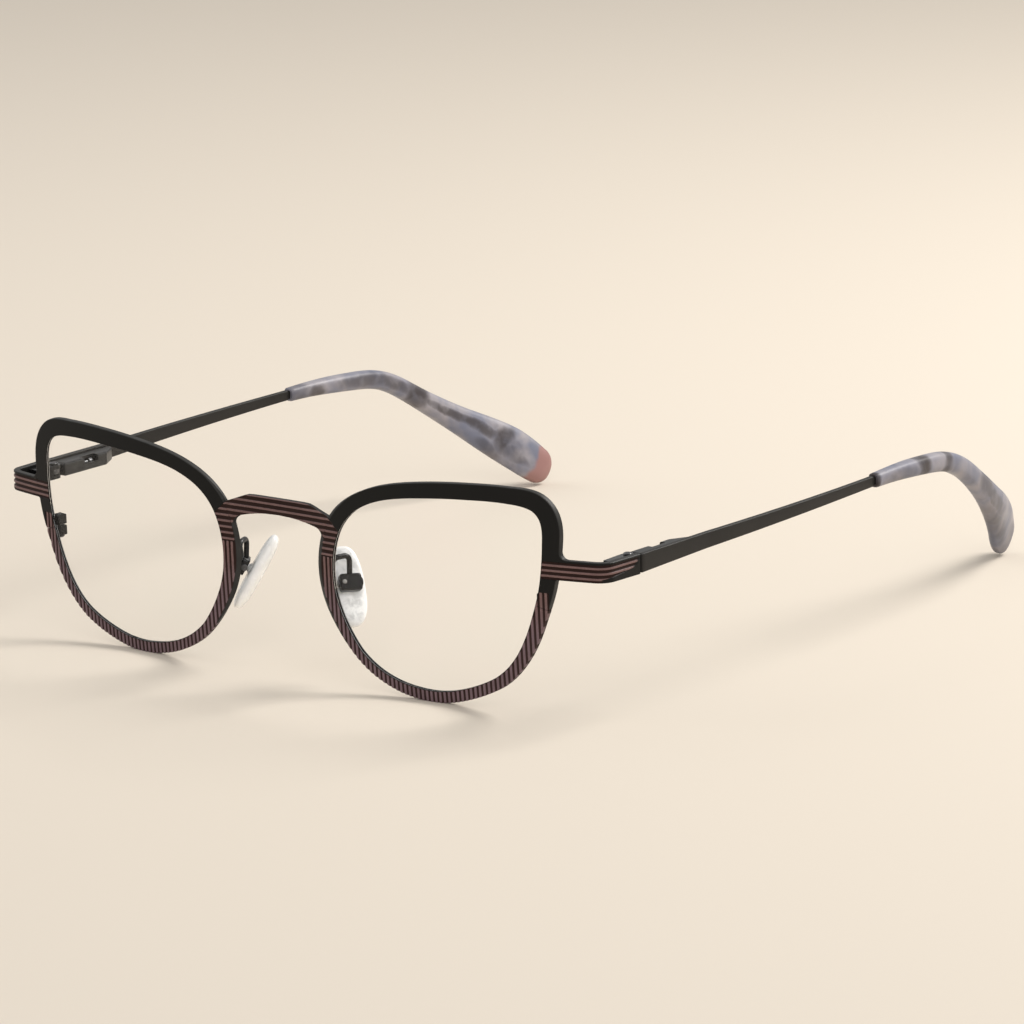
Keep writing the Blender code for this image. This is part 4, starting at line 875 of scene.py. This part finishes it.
def pad_shell():
    """The pad, its neck and its eye.

    The pad is an egg-shaped pillow: its outline and its section are ellipses with powers above
    two, so the ends are blunt and the edge is thick. The eye is a thick ring.
    """
    middle = PAD_STANDOFF + PAD_THICKNESS / 2
    share = np.sin(np.linspace(-math.pi / 2, math.pi / 2, 49))[:, None]
    side, face = np.cos(turns(48)), np.sin(turns(48))
    half = PAD_WIDTH / 2 * np.clip(1 - np.abs(share) ** PAD_BLUNTNESS, 0, 1) ** (1 / PAD_BLUNTNESS)
    half = half * (1 - PAD_EGG_SHARE * share)
    thick = PAD_THICKNESS / 2 * np.clip(1 - share ** 4, 0, 1) ** PAD_EDGE_POWER
    thick = thick * powered(face, PAD_SECTION) * (1 - PAD_DISH * (1 - side ** 2) * (face < 0))
    rim = np.maximum(smooth((np.abs(side) - PAD_RIM_SIDES[0]) / PAD_RIM_SIDES[1]),
                     smooth((np.abs(share) - PAD_RIM_ENDS[0]) / PAD_RIM_ENDS[1]))
    shell = Shell(in_pad_axes(spread(half * side, share * PAD_LENGTH / 2, middle + thick)),
                  marks=spread(rim, 0.0, 0.0, 0.0))
    ring = rounded_section((BOSS_RADIUS - BOSS_BORE) / 2, BOSS_WIDTH / 2, BOSS_CORNER)
    turn = turns(32)[:, None]
    radius = (BOSS_RADIUS + BOSS_BORE) / 2 + ring[:, 0]
    eye = spread(ring[:, 1], radius * np.cos(turn), radius * np.sin(turn))
    shell.add(in_pad_axes(eye), wrap_rows=True)
    neck = rounded_section(BOSS_WIDTH / 2 - SOLDER, BOSS_NECK / 2, NECK_CORNER)
    climb = np.linspace(NECK_FOOT, middle, 8)[:, None]
    flare = 1 + NECK_FLARE * smooth((climb - NECK_FLARE_FROM) / NECK_FLARE_RUN)
    shell.add(in_pad_axes(spread(neck[:, 0] * flare, neck[:, 1] * flare, climb)), caps=(0, -1))
    return shell


def tube_points(path, radius, sides=20, dome=5):
    """A round bar along a path with domed ends.

    Circles stand square to the path, each turned alike about it; at the ends they shrink
    along a quarter circle.
    """
    along = directions(path)
    side = unit(np.cross(along, TUBE_ASIDE))[:, None]
    turn = turns(sides)[:, None]
    circle = np.cos(turn) * side + np.sin(turn) * np.cross(along[:, None], side)
    angle = np.linspace(math.pi / 2, 0, dome, endpoint=False)[:, None, None]
    start, end = (path[k] + along[k] * radius * rise * np.sin(angle)
                  + circle[k] * radius * np.cos(angle)
                  for k, rise in ((0, -TUBE_DOMES[0]), (-1, TUBE_DOMES[1])))
    return np.vstack([start, path[:, None] + circle * radius, end[::-1]])


def cup_shell():
    """The pad's box, its screw barrel and a stud.

    The box is a stack of round-cornered outlines from its closed back over its rim into its
    slot. The barrel is a short round bar along the pad's short direction, half sunk in the
    box's back, with soft ends. The stud is half an ellipsoid.
    """
    top = PAD_STANDOFF / 2
    back, floor = top - BOX_DEPTH, top - BOX_DEPTH + BOX_FLOOR
    bend = np.linspace(0, math.pi / 2, 6)
    insets = [(BOX_SOFT * (1 - math.sin(a)), 1.2, back + BOX_SOFT * (1 - math.cos(a)))
              for a in bend]
    insets += [(0.0, 1.2, top - BOX_LIP), (BOX_LIP / 3, 1.1, top - BOX_LIP / 4),
               (BOX_LIP, 1.0, top)]
    rings = [(BOX_WIDTH / 2 - inset, BOX_LENGTH / 2 - inset, BOX_SOFT * corner, height)
             for inset, corner, height in insets]
    rings += [(BOX_SLOT_WIDTH / 2, BOX_SLOT_LENGTH / 2, BOX_SOFT / 2, height)
              for height in (top, floor)]
    *measures, height = np.array([(0, 0, 0, back), *rings, (0, 0, 0, floor)]).T
    outlines = rounded_section(*measures, 6)
    shell = Shell(in_pad_axes(spread(outlines[..., 0], outlines[..., 1], height[:, None])))
    turn, climb = turns(20), bend[:, None]
    middle, radius = BOX_WIDTH / 2 * STUD_SHARE, STUD_RADIUS * np.cos(climb)
    stud = spread(middle + radius * np.cos(turn), radius * np.sin(turn),
                  back + STUD_SUNK - STUD_HEIGHT * np.sin(climb))
    shell.add(in_pad_axes(stud), marks=(1, 0, 0, 0), caps=[0])
    barrel = spread(-np.linspace(BARREL_FROM, BARREL_TO, 6), 0.0, back + BARREL_DEEP)
    shell.add(tube_points(in_pad_axes(barrel), BARREL_RADIUS, 28))
    return shell


def nasal_edge():
    """How far across the opening's nasal side lies at the height of the lens centre."""
    rows = opening_rows()
    rows = rows[rows[:, 0] < LENS_ACROSS - LENS_WIDTH / 4]
    rows = rows[np.argsort(rows[:, 1])]
    return float(np.interp(0.0, rows[:, 1], rows[:, 0]))


def arm_shell():
    """The wire from behind the rim up and over to the pad's box, with its soldered foot."""
    pivot, (_, long, facing) = pad_axes()
    box_end = pivot + long * (BOX_LENGTH / 2) + facing * ((PAD_STANDOFF - BOX_DEPTH) / 2)
    foot = front_point(nasal_edge() - ARM_FOOT_IN, 0.0, sizes().sheet + SOLDER)
    root = foot + (0, ARM_ROOT, 0)
    crest = root + ((box_end[0] - foot[0]) * ARM_LEAN_SHARE, 0, ARM_RISE)
    corners = [foot, root, crest, box_end + (0, 0, ARM_FALL), box_end - long * ARM_SUNK]
    return Shell(tube_points(evenly(rounded_path(corners, ARM_BEND_RADIUS, 14), 70), ARM_RADIUS))


# Temples and tips


def temple_line(share):
    """Centre of the blade at shares of its length, and half its height there.

    Straight beside the hinge, then a gentle outward bow; the height shrinks by a power law.
    """
    straight = TEMPLE_STRAIGHT / TEMPLE_LENGTH
    past = np.maximum(0.0, share - straight) / (1 - straight)
    ahead = BLADE_AHEAD * np.clip(1 - share * BLADE_AHEAD_FADE, 0, 1)
    x = (TEMPLE_INNER + TEMPLE_THICKNESS / 2 + TEMPLE_FLARE * past
         + TEMPLE_BOW * 4 * past * (1 - past))
    y = TEMPLE_START + share * TEMPLE_LENGTH - ahead
    left = (1 - share) ** TEMPLE_TAPER
    half = (TEMPLE_END_HEIGHT + (TEMPLE_HEIGHT - TEMPLE_END_HEIGHT) * left) / 2
    return spread(x, y, END_CENTRE_HEIGHT + TEMPLE_RISE * share), half


def tip_stations(steps):
    """Centres of the tip's sections, their share of the paddle's width, and their directions."""
    (x, y, z), _ = temple_line(1.0)
    table = np.array(TIP_SHARES) * (TIP_REACH, -TIP_DROP, -TIP_INWARD, 1) + (y, z, x, 0)
    rows = catmull_rom(table, steps, False)
    centres = rows[:, [2, 0, 1]]
    along = directions(centres)
    out = unit((1.0, 0, 0) - along[:, :1] * along)
    return centres, rows[:, 3], along, out, np.cross(out, along)


def temple_shell():
    """The blade with rounded edges, its soft ends, and the thin core inside the tip."""
    middle = [(share, 0.0) for share in np.linspace(*BLADE_MIDDLE, BLADE_ROWS)]
    shares, ease = np.array([*BLADE_START, *middle, *BLADE_END]).T
    centres, half = temple_line(shares)
    up, out = np.array([[0, 0, 1.0]]), np.array([[1.0, 0, 0]])
    section = rounded_section(TEMPLE_THICKNESS / 2 - ease * MM, half - ease * MM, TEMPLE_CORNER)
    blade = swept(centres, out, up, section)
    spots, _, along, tip_out, tip_up = tip_stations(2)
    inside = slice(1, int(len(spots) * CORE_SHARE))
    root = centres[-1] + along[0] * SOLDER
    section = rounded_section(CORE_THICKNESS / 2, CORE_HEIGHT / 2, CORE_CORNER)
    core = swept(np.vstack([root, spots[inside]]), np.vstack([out, tip_out[inside]]),
                 np.vstack([up, tip_up[inside]]), section)
    return Shell(np.vstack([blade, core]), caps=(0, -1))


def tip_shell():
    """The acetate tip: bore, mouth, curved body and domed end, as one closed skin.

    Oval sections follow the tip's line. The last ones shrink along a quarter ellipse, which
    starts a little before the line's end, so that the paddle is round there.
    """
    stations = tip_stations(TIP_STEPS)
    run = length_along(stations[0])
    kept = run < run[-1] - TIP_ROUND_START
    run, centres, share, along, out, up = (rows[kept] for rows in (run, *stations))
    centres[0] += along[0] * TIP_MOUTH
    heights = (TIP_HEIGHT + (TIP_PADDLE - TIP_HEIGHT) * share) / 2
    widths = TIP_THICKNESS / 2 * np.minimum(1.0, TIP_MOUTH_SHARE + share * 2)
    ease = 1 - TIP_LIP_SHARE * fillet_share(run, TIP_LIP)
    body = swept(centres, out, up, oval(widths * ease, heights * ease))
    angle = np.linspace(0, math.pi / 2, 14)[1:]
    beyond = np.sin(angle) * TIP_ROUND_LENGTH
    end = swept(centres[-1] + along[-1] * beyond[:, None], out[-1:], up[-1:],
                oval(widths[-1] * np.cos(angle) ** TIP_ROUND_POWERS[0],
                     heights[-1] * np.cos(angle) ** TIP_ROUND_POWERS[1]))
    spots = np.arange(0, int(len(stations[0]) * CORE_SHARE), 3)[::-1]
    bore = swept(centres[spots], out[spots], up[spots],
                 oval(CORE_THICKNESS / 2 + CORE_CLEARANCE, CORE_HEIGHT / 2 + CORE_CLEARANCE,
                      BORE_ROUNDNESS))
    floor = np.full_like(bore[:1], bore[0].mean(axis=0) + along[spots[0]] * CORE_CLEARANCE)
    lengths = np.concatenate([run[spots[:1]], run[spots], run, run[-1] + beyond])
    across = 0.5 + 0.5 * np.sin(turns(TIP_SIDES))
    marks = spread((lengths / lengths.max())[:, None], across, 0.0, 0.0)
    return Shell(np.vstack([floor, bore, body, end]), marks=marks)


# Finishes


class Value:
    """A socket's number, with arithmetic that adds Math nodes."""

    def __init__(self, finish, socket):
        self.finish, self.socket = finish, socket

    def __add__(self, other):
        return self.finish.math("ADD", self, other)

    def __sub__(self, other):
        return self.finish.math("SUBTRACT", self, other)

    def __rsub__(self, other):
        return self.finish.math("SUBTRACT", other, self)

    def __mul__(self, other):
        return self.finish.math("MULTIPLY", self, other)

    def __truediv__(self, other):
        return self.finish.math("DIVIDE", self, other)

    def __rtruediv__(self, other):
        return self.finish.math("DIVIDE", other, self)

    def __pow__(self, other):
        return self.finish.math("POWER", self, other)

    def __rpow__(self, other):
        return self.finish.math("POWER", other, self)

    __radd__, __rmul__ = __add__, __mul__

    def step(self, low, high):
        """0 below low, 1 above high, and an even step between."""
        node = self.finish.node("MapRange", {"interpolation_type": "SMOOTHSTEP"},
                                {"Value": self, "From Min": low, "From Max": high})
        return Value(self.finish, node.outputs[0])


class Finish:
    """A material in the making: one Principled shader and the nodes that feed it."""

    def __init__(self, name, **fixed):
        self.material = bpy.data.materials.new(name)
        self.material.use_nodes = True
        self.tree = self.material.node_tree
        self.tree.nodes.clear()
        self.shader = self.node("BsdfPrincipled")
        self.output = self.node("OutputMaterial", {}, {"Surface": self.shader.outputs[0]})
        for key, value in fixed.items():
            self.set(key.replace("_", " "), value)

    def node(self, kind, settings=None, inputs=None):
        """A node by its type, with its settings first and then its sockets' values or links."""
        node = self.tree.nodes.new("ShaderNode" + kind)
        for key, value in (settings or {}).items():
            setattr(node, key, value)
        for key, value in (inputs or {}).items():
            self.feed(node.inputs[key], value)
        return node

    def feed(self, socket, value):
        """Link a socket, or set its value where it is a plain number or colour."""
        if isinstance(value, Value):
            value = value.socket
        if isinstance(value, bpy.types.NodeSocket):
            self.tree.links.new(value, socket)
        elif isinstance(value, (int, float)):
            socket.default_value = value
        else:
            opaque = (1.0,) if socket.type == "RGBA" and len(value) == 3 else ()
            socket.default_value = (*value, *opaque)

    def set(self, key, value):
        """Give one of the shader's sockets a value or a link."""
        self.feed(self.shader.inputs[key], value)

    def math(self, operation, *numbers):
        """The Math node's result for some numbers."""
        node = self.node("Math", {"operation": operation}, dict(enumerate(numbers)))
        return Value(self, node.outputs[0])

    def place(self, scale=(1, 1, 1), shift=(0, 0, 0)):
        """Object coordinates in millimetres, stretched and shifted."""
        spot = self.node("TexCoord").outputs["Object"]
        stretch = tuple(s / MM for s in scale)
        node = self.node("Mapping", {}, {"Vector": spot, "Location": shift, "Scale": stretch})
        return node.outputs[0]

    def noise(self, scale, detail, roughness=0.5, distortion=0.0, spot=None):
        """Cloudy noise between 0 and 1; the scale is in waves for each millimetre."""
        spot = self.place() if spot is None else spot
        node = self.node("TexNoise", {}, {"Vector": spot, "Scale": scale, "Detail": detail,
                                          "Roughness": roughness, "Distortion": distortion})
        return Value(self, node.outputs[0])

    def marks(self, name):
        """The four numbers that a piece's points carry."""
        node = self.node("Attribute", {"attribute_name": name})
        parts = self.node("SeparateColor", {}, {0: node.outputs["Color"]})
        return [Value(self, socket) for socket in (*parts.outputs, node.outputs["Alpha"])]

    def blend(self, share, first, second):
        """A colour between two, by a share."""
        return self.node("Mix", {"data_type": "RGBA"}, {0: share, 6: first, 7: second}).outputs[2]

    def bump(self, height, distance, strength):
        """Raise the surface's shading by a height between 0 and 1 times a distance."""
        node = self.node("Bump", {}, {"Height": height, "Distance": distance,
                                      "Strength": strength})
        self.set("Normal", node.outputs[0])


def milled_finish():
    """Matte black sheet: mauve on the ridges, brown in the grooves, lighter grey on the edges and
    outer sides, partly wear and partly a painted highlight.
    """
    tint = colours()
    finish = Finish("milled_front", Specular_IOR_Level=0.15)
    grain = finish.noise(5.0, 4.0, 0.6)
    cloud = finish.noise(0.35, 3.0)
    mauve, cut, worn, low = finish.marks("mill")
    # Edges and outer sides turn lighter grey: partly wear, partly a painted highlight
    wear_and_sheen_share = worn * finish.math("MINIMUM", cloud * 0.8 + 0.25, 1.0)
    base = finish.blend(wear_and_sheen_share, tint.black, tint.worn)
    ridge = finish.blend(low, tint.ridge, tint.lower_ridge)
    groove = finish.blend(low, tint.cut, tint.lower_cut)
    dust = grain.step(0.25, 0.75) * 0.3 + cloud.step(0.35, 0.75) * 0.15
    dull = finish.blend(dust, ridge, groove)
    base = finish.blend(cut.step(0.15, 0.85), base, groove)
    finish.set("Base Color", finish.blend(mauve.step(0.25, 0.8), base, dull))
    finish.set("Roughness", grain * 0.16 + 0.36 + cut * 0.12)
    finish.bump(grain, 0.012 * MM, 0.6)
    return finish.material


def charcoal_finish():
    """Dark grey metal, finely brushed along the temple."""
    dark = colours().charcoal
    finish = Finish("charcoal_metal", Metallic=0.45, Specular_IOR_Level=0.3)
    brushed = finish.noise(2.2, 4.0, 0.6, spot=finish.place((4, 0.12, 4)))
    cloud = finish.noise(0.12, 3.0)
    share = brushed.step(0.3, 0.75) * 0.6 + cloud.step(0.35, 0.7) * 0.4
    finish.set("Base Color", finish.blend(share, dark, tuple(c * 1.55 for c in dark)))
    finish.set("Roughness", brushed * 0.2 + 0.36)
    finish.bump(brushed, 0.01 * MM, 0.5)
    return finish.material


def acetate_finish(side):
    """Marbled acetate: soft lilac grey clouds, dark stains at set places along the tip, and painted
    shade at the left tip's mouth.

    Each stain is an ellipse in the share along the tip and the share across it, pushed about
    by clouds so that its border wanders.
    """
    tint = colours()
    sign = 1 if side == "left" else -1
    finish = Finish("marbled_acetate_" + side, Specular_IOR_Level=0.3)
    spot = finish.place(shift=(3.7 * sign, 1.3 - sign, 2.1))
    cloud = finish.noise(0.17, 2.0, 0.5, 0.3, spot)
    fine = finish.noise(0.45, 3.0, 0.55, 0.2, spot)
    streak = finish.noise(0.38, 2.0, 0.5, 0.3, spot)
    drift = finish.noise(0.2, 2.0, spot=finish.place(shift=(9.1, 4.3, 1.7)))
    along, across, *_ = finish.marks("tip")
    along = along + (drift - 0.5) * 0.05
    across = across * 2 - 1 + (cloud - 0.5) * 0.7 + (fine - 0.5) * 0.35
    clouds = cloud.step(0.3, 0.7) * 0.86 + fine.step(0.3, 0.75) * 0.14
    base = finish.blend(clouds, tint.lilac, tint.pale)
    dark = fine.step(0.45, 0.85) * 0.25
    for middle, height, long, wide, strength in TIP_STAINS_AND_SHADE[side]:
        off = ((along - middle) / long) ** 2 + ((across - height) / wide) ** 2
        dark = finish.math("MAXIMUM", dark, (1 - off.step(0.0, 2.6)) * strength)
    # Stains, and the painted shade at the left tip's mouth, darken towards the vein colour
    body = finish.blend(dark * (streak.step(0.3, 0.6) * 0.3 + 0.72), base, tint.vein)
    if side == "right":
        body = finish.blend(along.step(0.925, 0.945) * 0.9, body, tint.rose)
    finish.set("Base Color", body)
    finish.set("Roughness", fine * 0.14 + 0.34)
    finish.bump(fine, 0.01 * MM, 0.3)
    return finish.material


def lens_finish():
    """Clear polished glass whose coating reflects little and shifts faintly in tint.

    Rays towards a lamp pass straight through, so the lenses cast no shadow of their own.
    """
    finish = Finish("clear_lens_glass", Roughness=0.0, IOR=1.18, Transmission_Weight=1.0)
    coating = finish.noise(0.05, 2.0).step(0.3, 0.7)
    finish.set("Base Color", finish.blend(coating, (0.982, 0.99, 0.988), (0.995, 0.986, 0.99)))
    clear = finish.node("BsdfTransparent")
    lamp = finish.node("LightPath").outputs["Is Shadow Ray"]
    both = finish.node("MixShader", {}, {0: lamp, 1: finish.shader.outputs[0],
                                         2: clear.outputs[0]})
    finish.feed(finish.output.inputs["Surface"], both.outputs[0])
    return finish.material


def pad_finish():
    """Milky clear silicone, whiter along the rim."""
    milky = colours().pad
    finish = Finish("milky_silicone", Subsurface_Weight=0.35, Subsurface_Scale=0.9 * MM,
                    Subsurface_Radius=(1.0, 1.0, 0.95), Coat_Weight=0.3, Coat_Roughness=0.1)
    cloud = finish.noise(0.5, 3.0, 0.6, 0.5)
    body = finish.blend(cloud.step(0.35, 0.6), tuple(c * 0.7 for c in milky), milky)
    finish.set("Base Color", finish.blend(finish.marks("rim")[0] * 0.8, body, (0.93, 0.92, 0.90)))
    finish.set("Roughness", cloud * 0.12 + 0.2)
    finish.bump(cloud, 0.03 * MM, 0.3)
    return finish.material


def fitting_finish(name, dark, light, roughness, metallic, scale=(1, 1, 1), stud=None):
    """A small metal part: fine grain that varies its colour and its gloss, and a paler stud, a screw
    end whose paleness is partly a painted glint.
    """
    finish = Finish(name, Metallic=metallic, Specular_IOR_Level=0.3)
    grain = finish.noise(3.0, 4.0, 0.6, spot=finish.place(scale))
    cloud = finish.noise(0.6, 2.0)
    body = finish.blend(grain.step(0.3, 0.8) * 0.6 + cloud.step(0.4, 0.7) * 0.4, dark, light)
    finish.set("Base Color", finish.blend(finish.marks("stud")[0], body, stud) if stud else body)
    finish.set("Roughness", grain * 0.16 + roughness)
    finish.bump(grain, 0.006 * MM, 0.5)
    return finish.material


# Operators


class MakeFront(Operator):
    """Make the milled front: rims, bridge and end pieces in one skin."""

    bl_idname = "glasses.front"
    bl_label = "Milled front"

    def execute(self, context):
        make_piece("milled_front", front_shell(), milled_finish(), "front",
                   "front", marked="mill")
        return {"FINISHED"}


class MakeLenses(Operator):
    """Make the two lenses."""

    bl_idname = "glasses.lenses"
    bl_label = "Lenses"

    def execute(self, context):
        for lens in make_pair("{}_clear_lens", lens_shell(), [lens_finish()] * 2, "front",
                              "{}_lens"):
            # Light on its way from the floor passes the lens, so that no lamp counts twice there
            lens.visible_diffuse = False
        return {"FINISHED"}


class MakeNosePads(Operator):
    """Make the two nose pads."""

    bl_idname = "glasses.nose_pads"
    bl_label = "Nose pads"

    def execute(self, context):
        make_pair("{}_silicone_pad", pad_shell(), [pad_finish()] * 2, "{}_pad",
                  "{}_nose_pad", "rim")
        return {"FINISHED"}


class MakePadArms(Operator):
    """Make the nose pads' boxes and the wires that carry them."""

    bl_idname = "glasses.pad_arms"
    bl_label = "Pad arms and boxes"

    def execute(self, context):
        tints = (0.008, 0.008, 0.008), (0.022, 0.022, 0.022)
        wire = fitting_finish("arm_black", *tints, 0.2, 0.0)
        # The box's stud is a screw end painted pale grey: partly its bare metal, partly a painted
        # glint
        box = fitting_finish("box_black", *tints, 0.16, 0.0, stud=(0.30, 0.295, 0.28))
        make_pair("{}_pad_wire", arm_shell(), [wire] * 2, "front", "{}_pad_arm")
        make_pair("{}_pad_cup", cup_shell(), [box] * 2, "front", "{}_pad_box",
                  "stud")
        return {"FINISHED"}


class MakeTemples(Operator):
    """Make the two temple blades."""

    bl_idname = "glasses.temples"
    bl_label = "Temples"

    def execute(self, context):
        make_pair("{}_blade", temple_shell(), [charcoal_finish()] * 2, "{}_temple",
                  "{}_temple")
        return {"FINISHED"}


class MakeTips(Operator):
    """Make the two acetate temple tips."""

    bl_idname = "glasses.tips"
    bl_label = "Temple tips"

    def execute(self, context):
        make_pair("{}_marbled_tip", tip_shell(), map(acetate_finish, SIDES), "{}_temple",
                  "{}_temple_tip", "tip")
        return {"FINISHED"}


class FinishFittings(Operator):
    """Give the hinges, locks, plugs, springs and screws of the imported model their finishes."""

    bl_idname = "glasses.fittings"
    bl_label = "Fittings"

    def execute(self, context):
        for name, (look, kinds) in FITTINGS.items():
            material = fitting_finish(name, *look)
            for node in (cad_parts[side + "_" + kind] for side in SIDES for kind in kinds):
                for slot in node.material_slots:
                    slot.material = material
        return {"FINISHED"}


class MakeStage(Operator):
    """Lay the floor, hang the lamps and set up the camera with the photograph's view."""

    bl_idname = "glasses.stage"
    bl_label = "Stage"

    def execute(self, context):
        scene = context.scene
        mesh = bpy.data.meshes.new("floor")
        corners = [(x * FLOOR_REACH, y * FLOOR_REACH, 0)
                   for x, y in ((-1, -1), (1, -1), (1, 1), (-1, 1))]
        mesh.from_pydata(corners, [], [(0, 1, 2, 3)])
        ground = Finish("pale_floor", Roughness=0.7)
        ground.set("Base Color", colours().floor)
        mesh.materials.append(ground.material)
        new_object("floor", mesh)
        for name, spot, size, power, tint in LAMPS:
            light = bpy.data.lights.new(name, "AREA")
            light.energy, light.size, light.color = power, size, tint
            lamp = new_object(name, light)
            lamp.location = spot
            aim = Vector(LAMP_TARGET) - Vector(spot)
            lamp.rotation_euler = aim.to_track_quat("-Z", "Y").to_euler()
            # No lamp shows as a glint through the edge of a lens
            lamp.visible_transmission = False
        scene.world = bpy.data.worlds.new("studio")
        scene.world.use_nodes = True
        background = scene.world.node_tree.nodes["Background"]
        background.inputs["Color"].default_value = (*WORLD_TINT, 1.0)
        background.inputs["Strength"].default_value = WORLD_STRENGTH
        camera = new_object("camera", bpy.data.cameras.new("camera"))
        view = Matrix.Identity(4)
        turned = (VIEW_AZIMUTH, "Z"), (math.pi / 2 - VIEW_ELEVATION, "X"), (VIEW_ROLL, "Z")
        for angle, axis in turned:
            view = view @ Matrix.Rotation(angle, 4, axis)
        view.translation = Vector(VIEW_TARGET) + view.col[2].xyz * VIEW_DISTANCE
        camera.matrix_world = view
        camera.data.lens = VIEW_LENS
        camera.data.sensor_width = VIEW_SENSOR
        camera.data.shift_x, camera.data.shift_y = VIEW_SHIFT
        camera.data.clip_start = VIEW_NEAREST
        scene.camera = camera
        scene.view_settings.view_transform = "Standard"
        return {"FINISHED"}


OPERATORS = (MakeFront, MakeLenses, MakeNosePads, MakePadArms, MakeTemples, MakeTips,
             FinishFittings, MakeStage)


class GlassesPanel(Panel):
    """Lists the glasses' operators, sizes and colours in the sidebar."""

    bl_idname = "VIEW3D_PT_glasses"
    bl_label = "Cat eye glasses"
    bl_space_type = "VIEW_3D"
    bl_region_type = "UI"
    bl_category = "Glasses"

    def draw(self, context):
        for kind in OPERATORS:
            self.layout.operator(kind.bl_idname)
        for group in (context.scene.glasses_front, context.scene.glasses_colours):
            for key in group.__annotations__:
                self.layout.prop(group, key)


CLASSES = (FrontSizes, Colours, *OPERATORS, GlassesPanel)


def register():
    """Add the classes and the scene's settings to Blender."""
    for kind in CLASSES:
        bpy.utils.register_class(kind)
    bpy.types.Scene.glasses_front = PointerProperty(type=FrontSizes)
    bpy.types.Scene.glasses_colours = PointerProperty(type=Colours)


def unregister():
    """Take the classes and the scene's settings out again."""
    del bpy.types.Scene.glasses_colours
    del bpy.types.Scene.glasses_front
    for kind in reversed(CLASSES):
        bpy.utils.unregister_class(kind)


def main():
    """Make every piece and the stage."""
    register()
    bpy.ops.glasses.front()
    bpy.ops.glasses.lenses()
    bpy.ops.glasses.nose_pads()
    bpy.ops.glasses.pad_arms()
    bpy.ops.glasses.temples()
    bpy.ops.glasses.tips()
    bpy.ops.glasses.fittings()
    bpy.ops.glasses.stage()


if __name__ == "__main__":
    main()
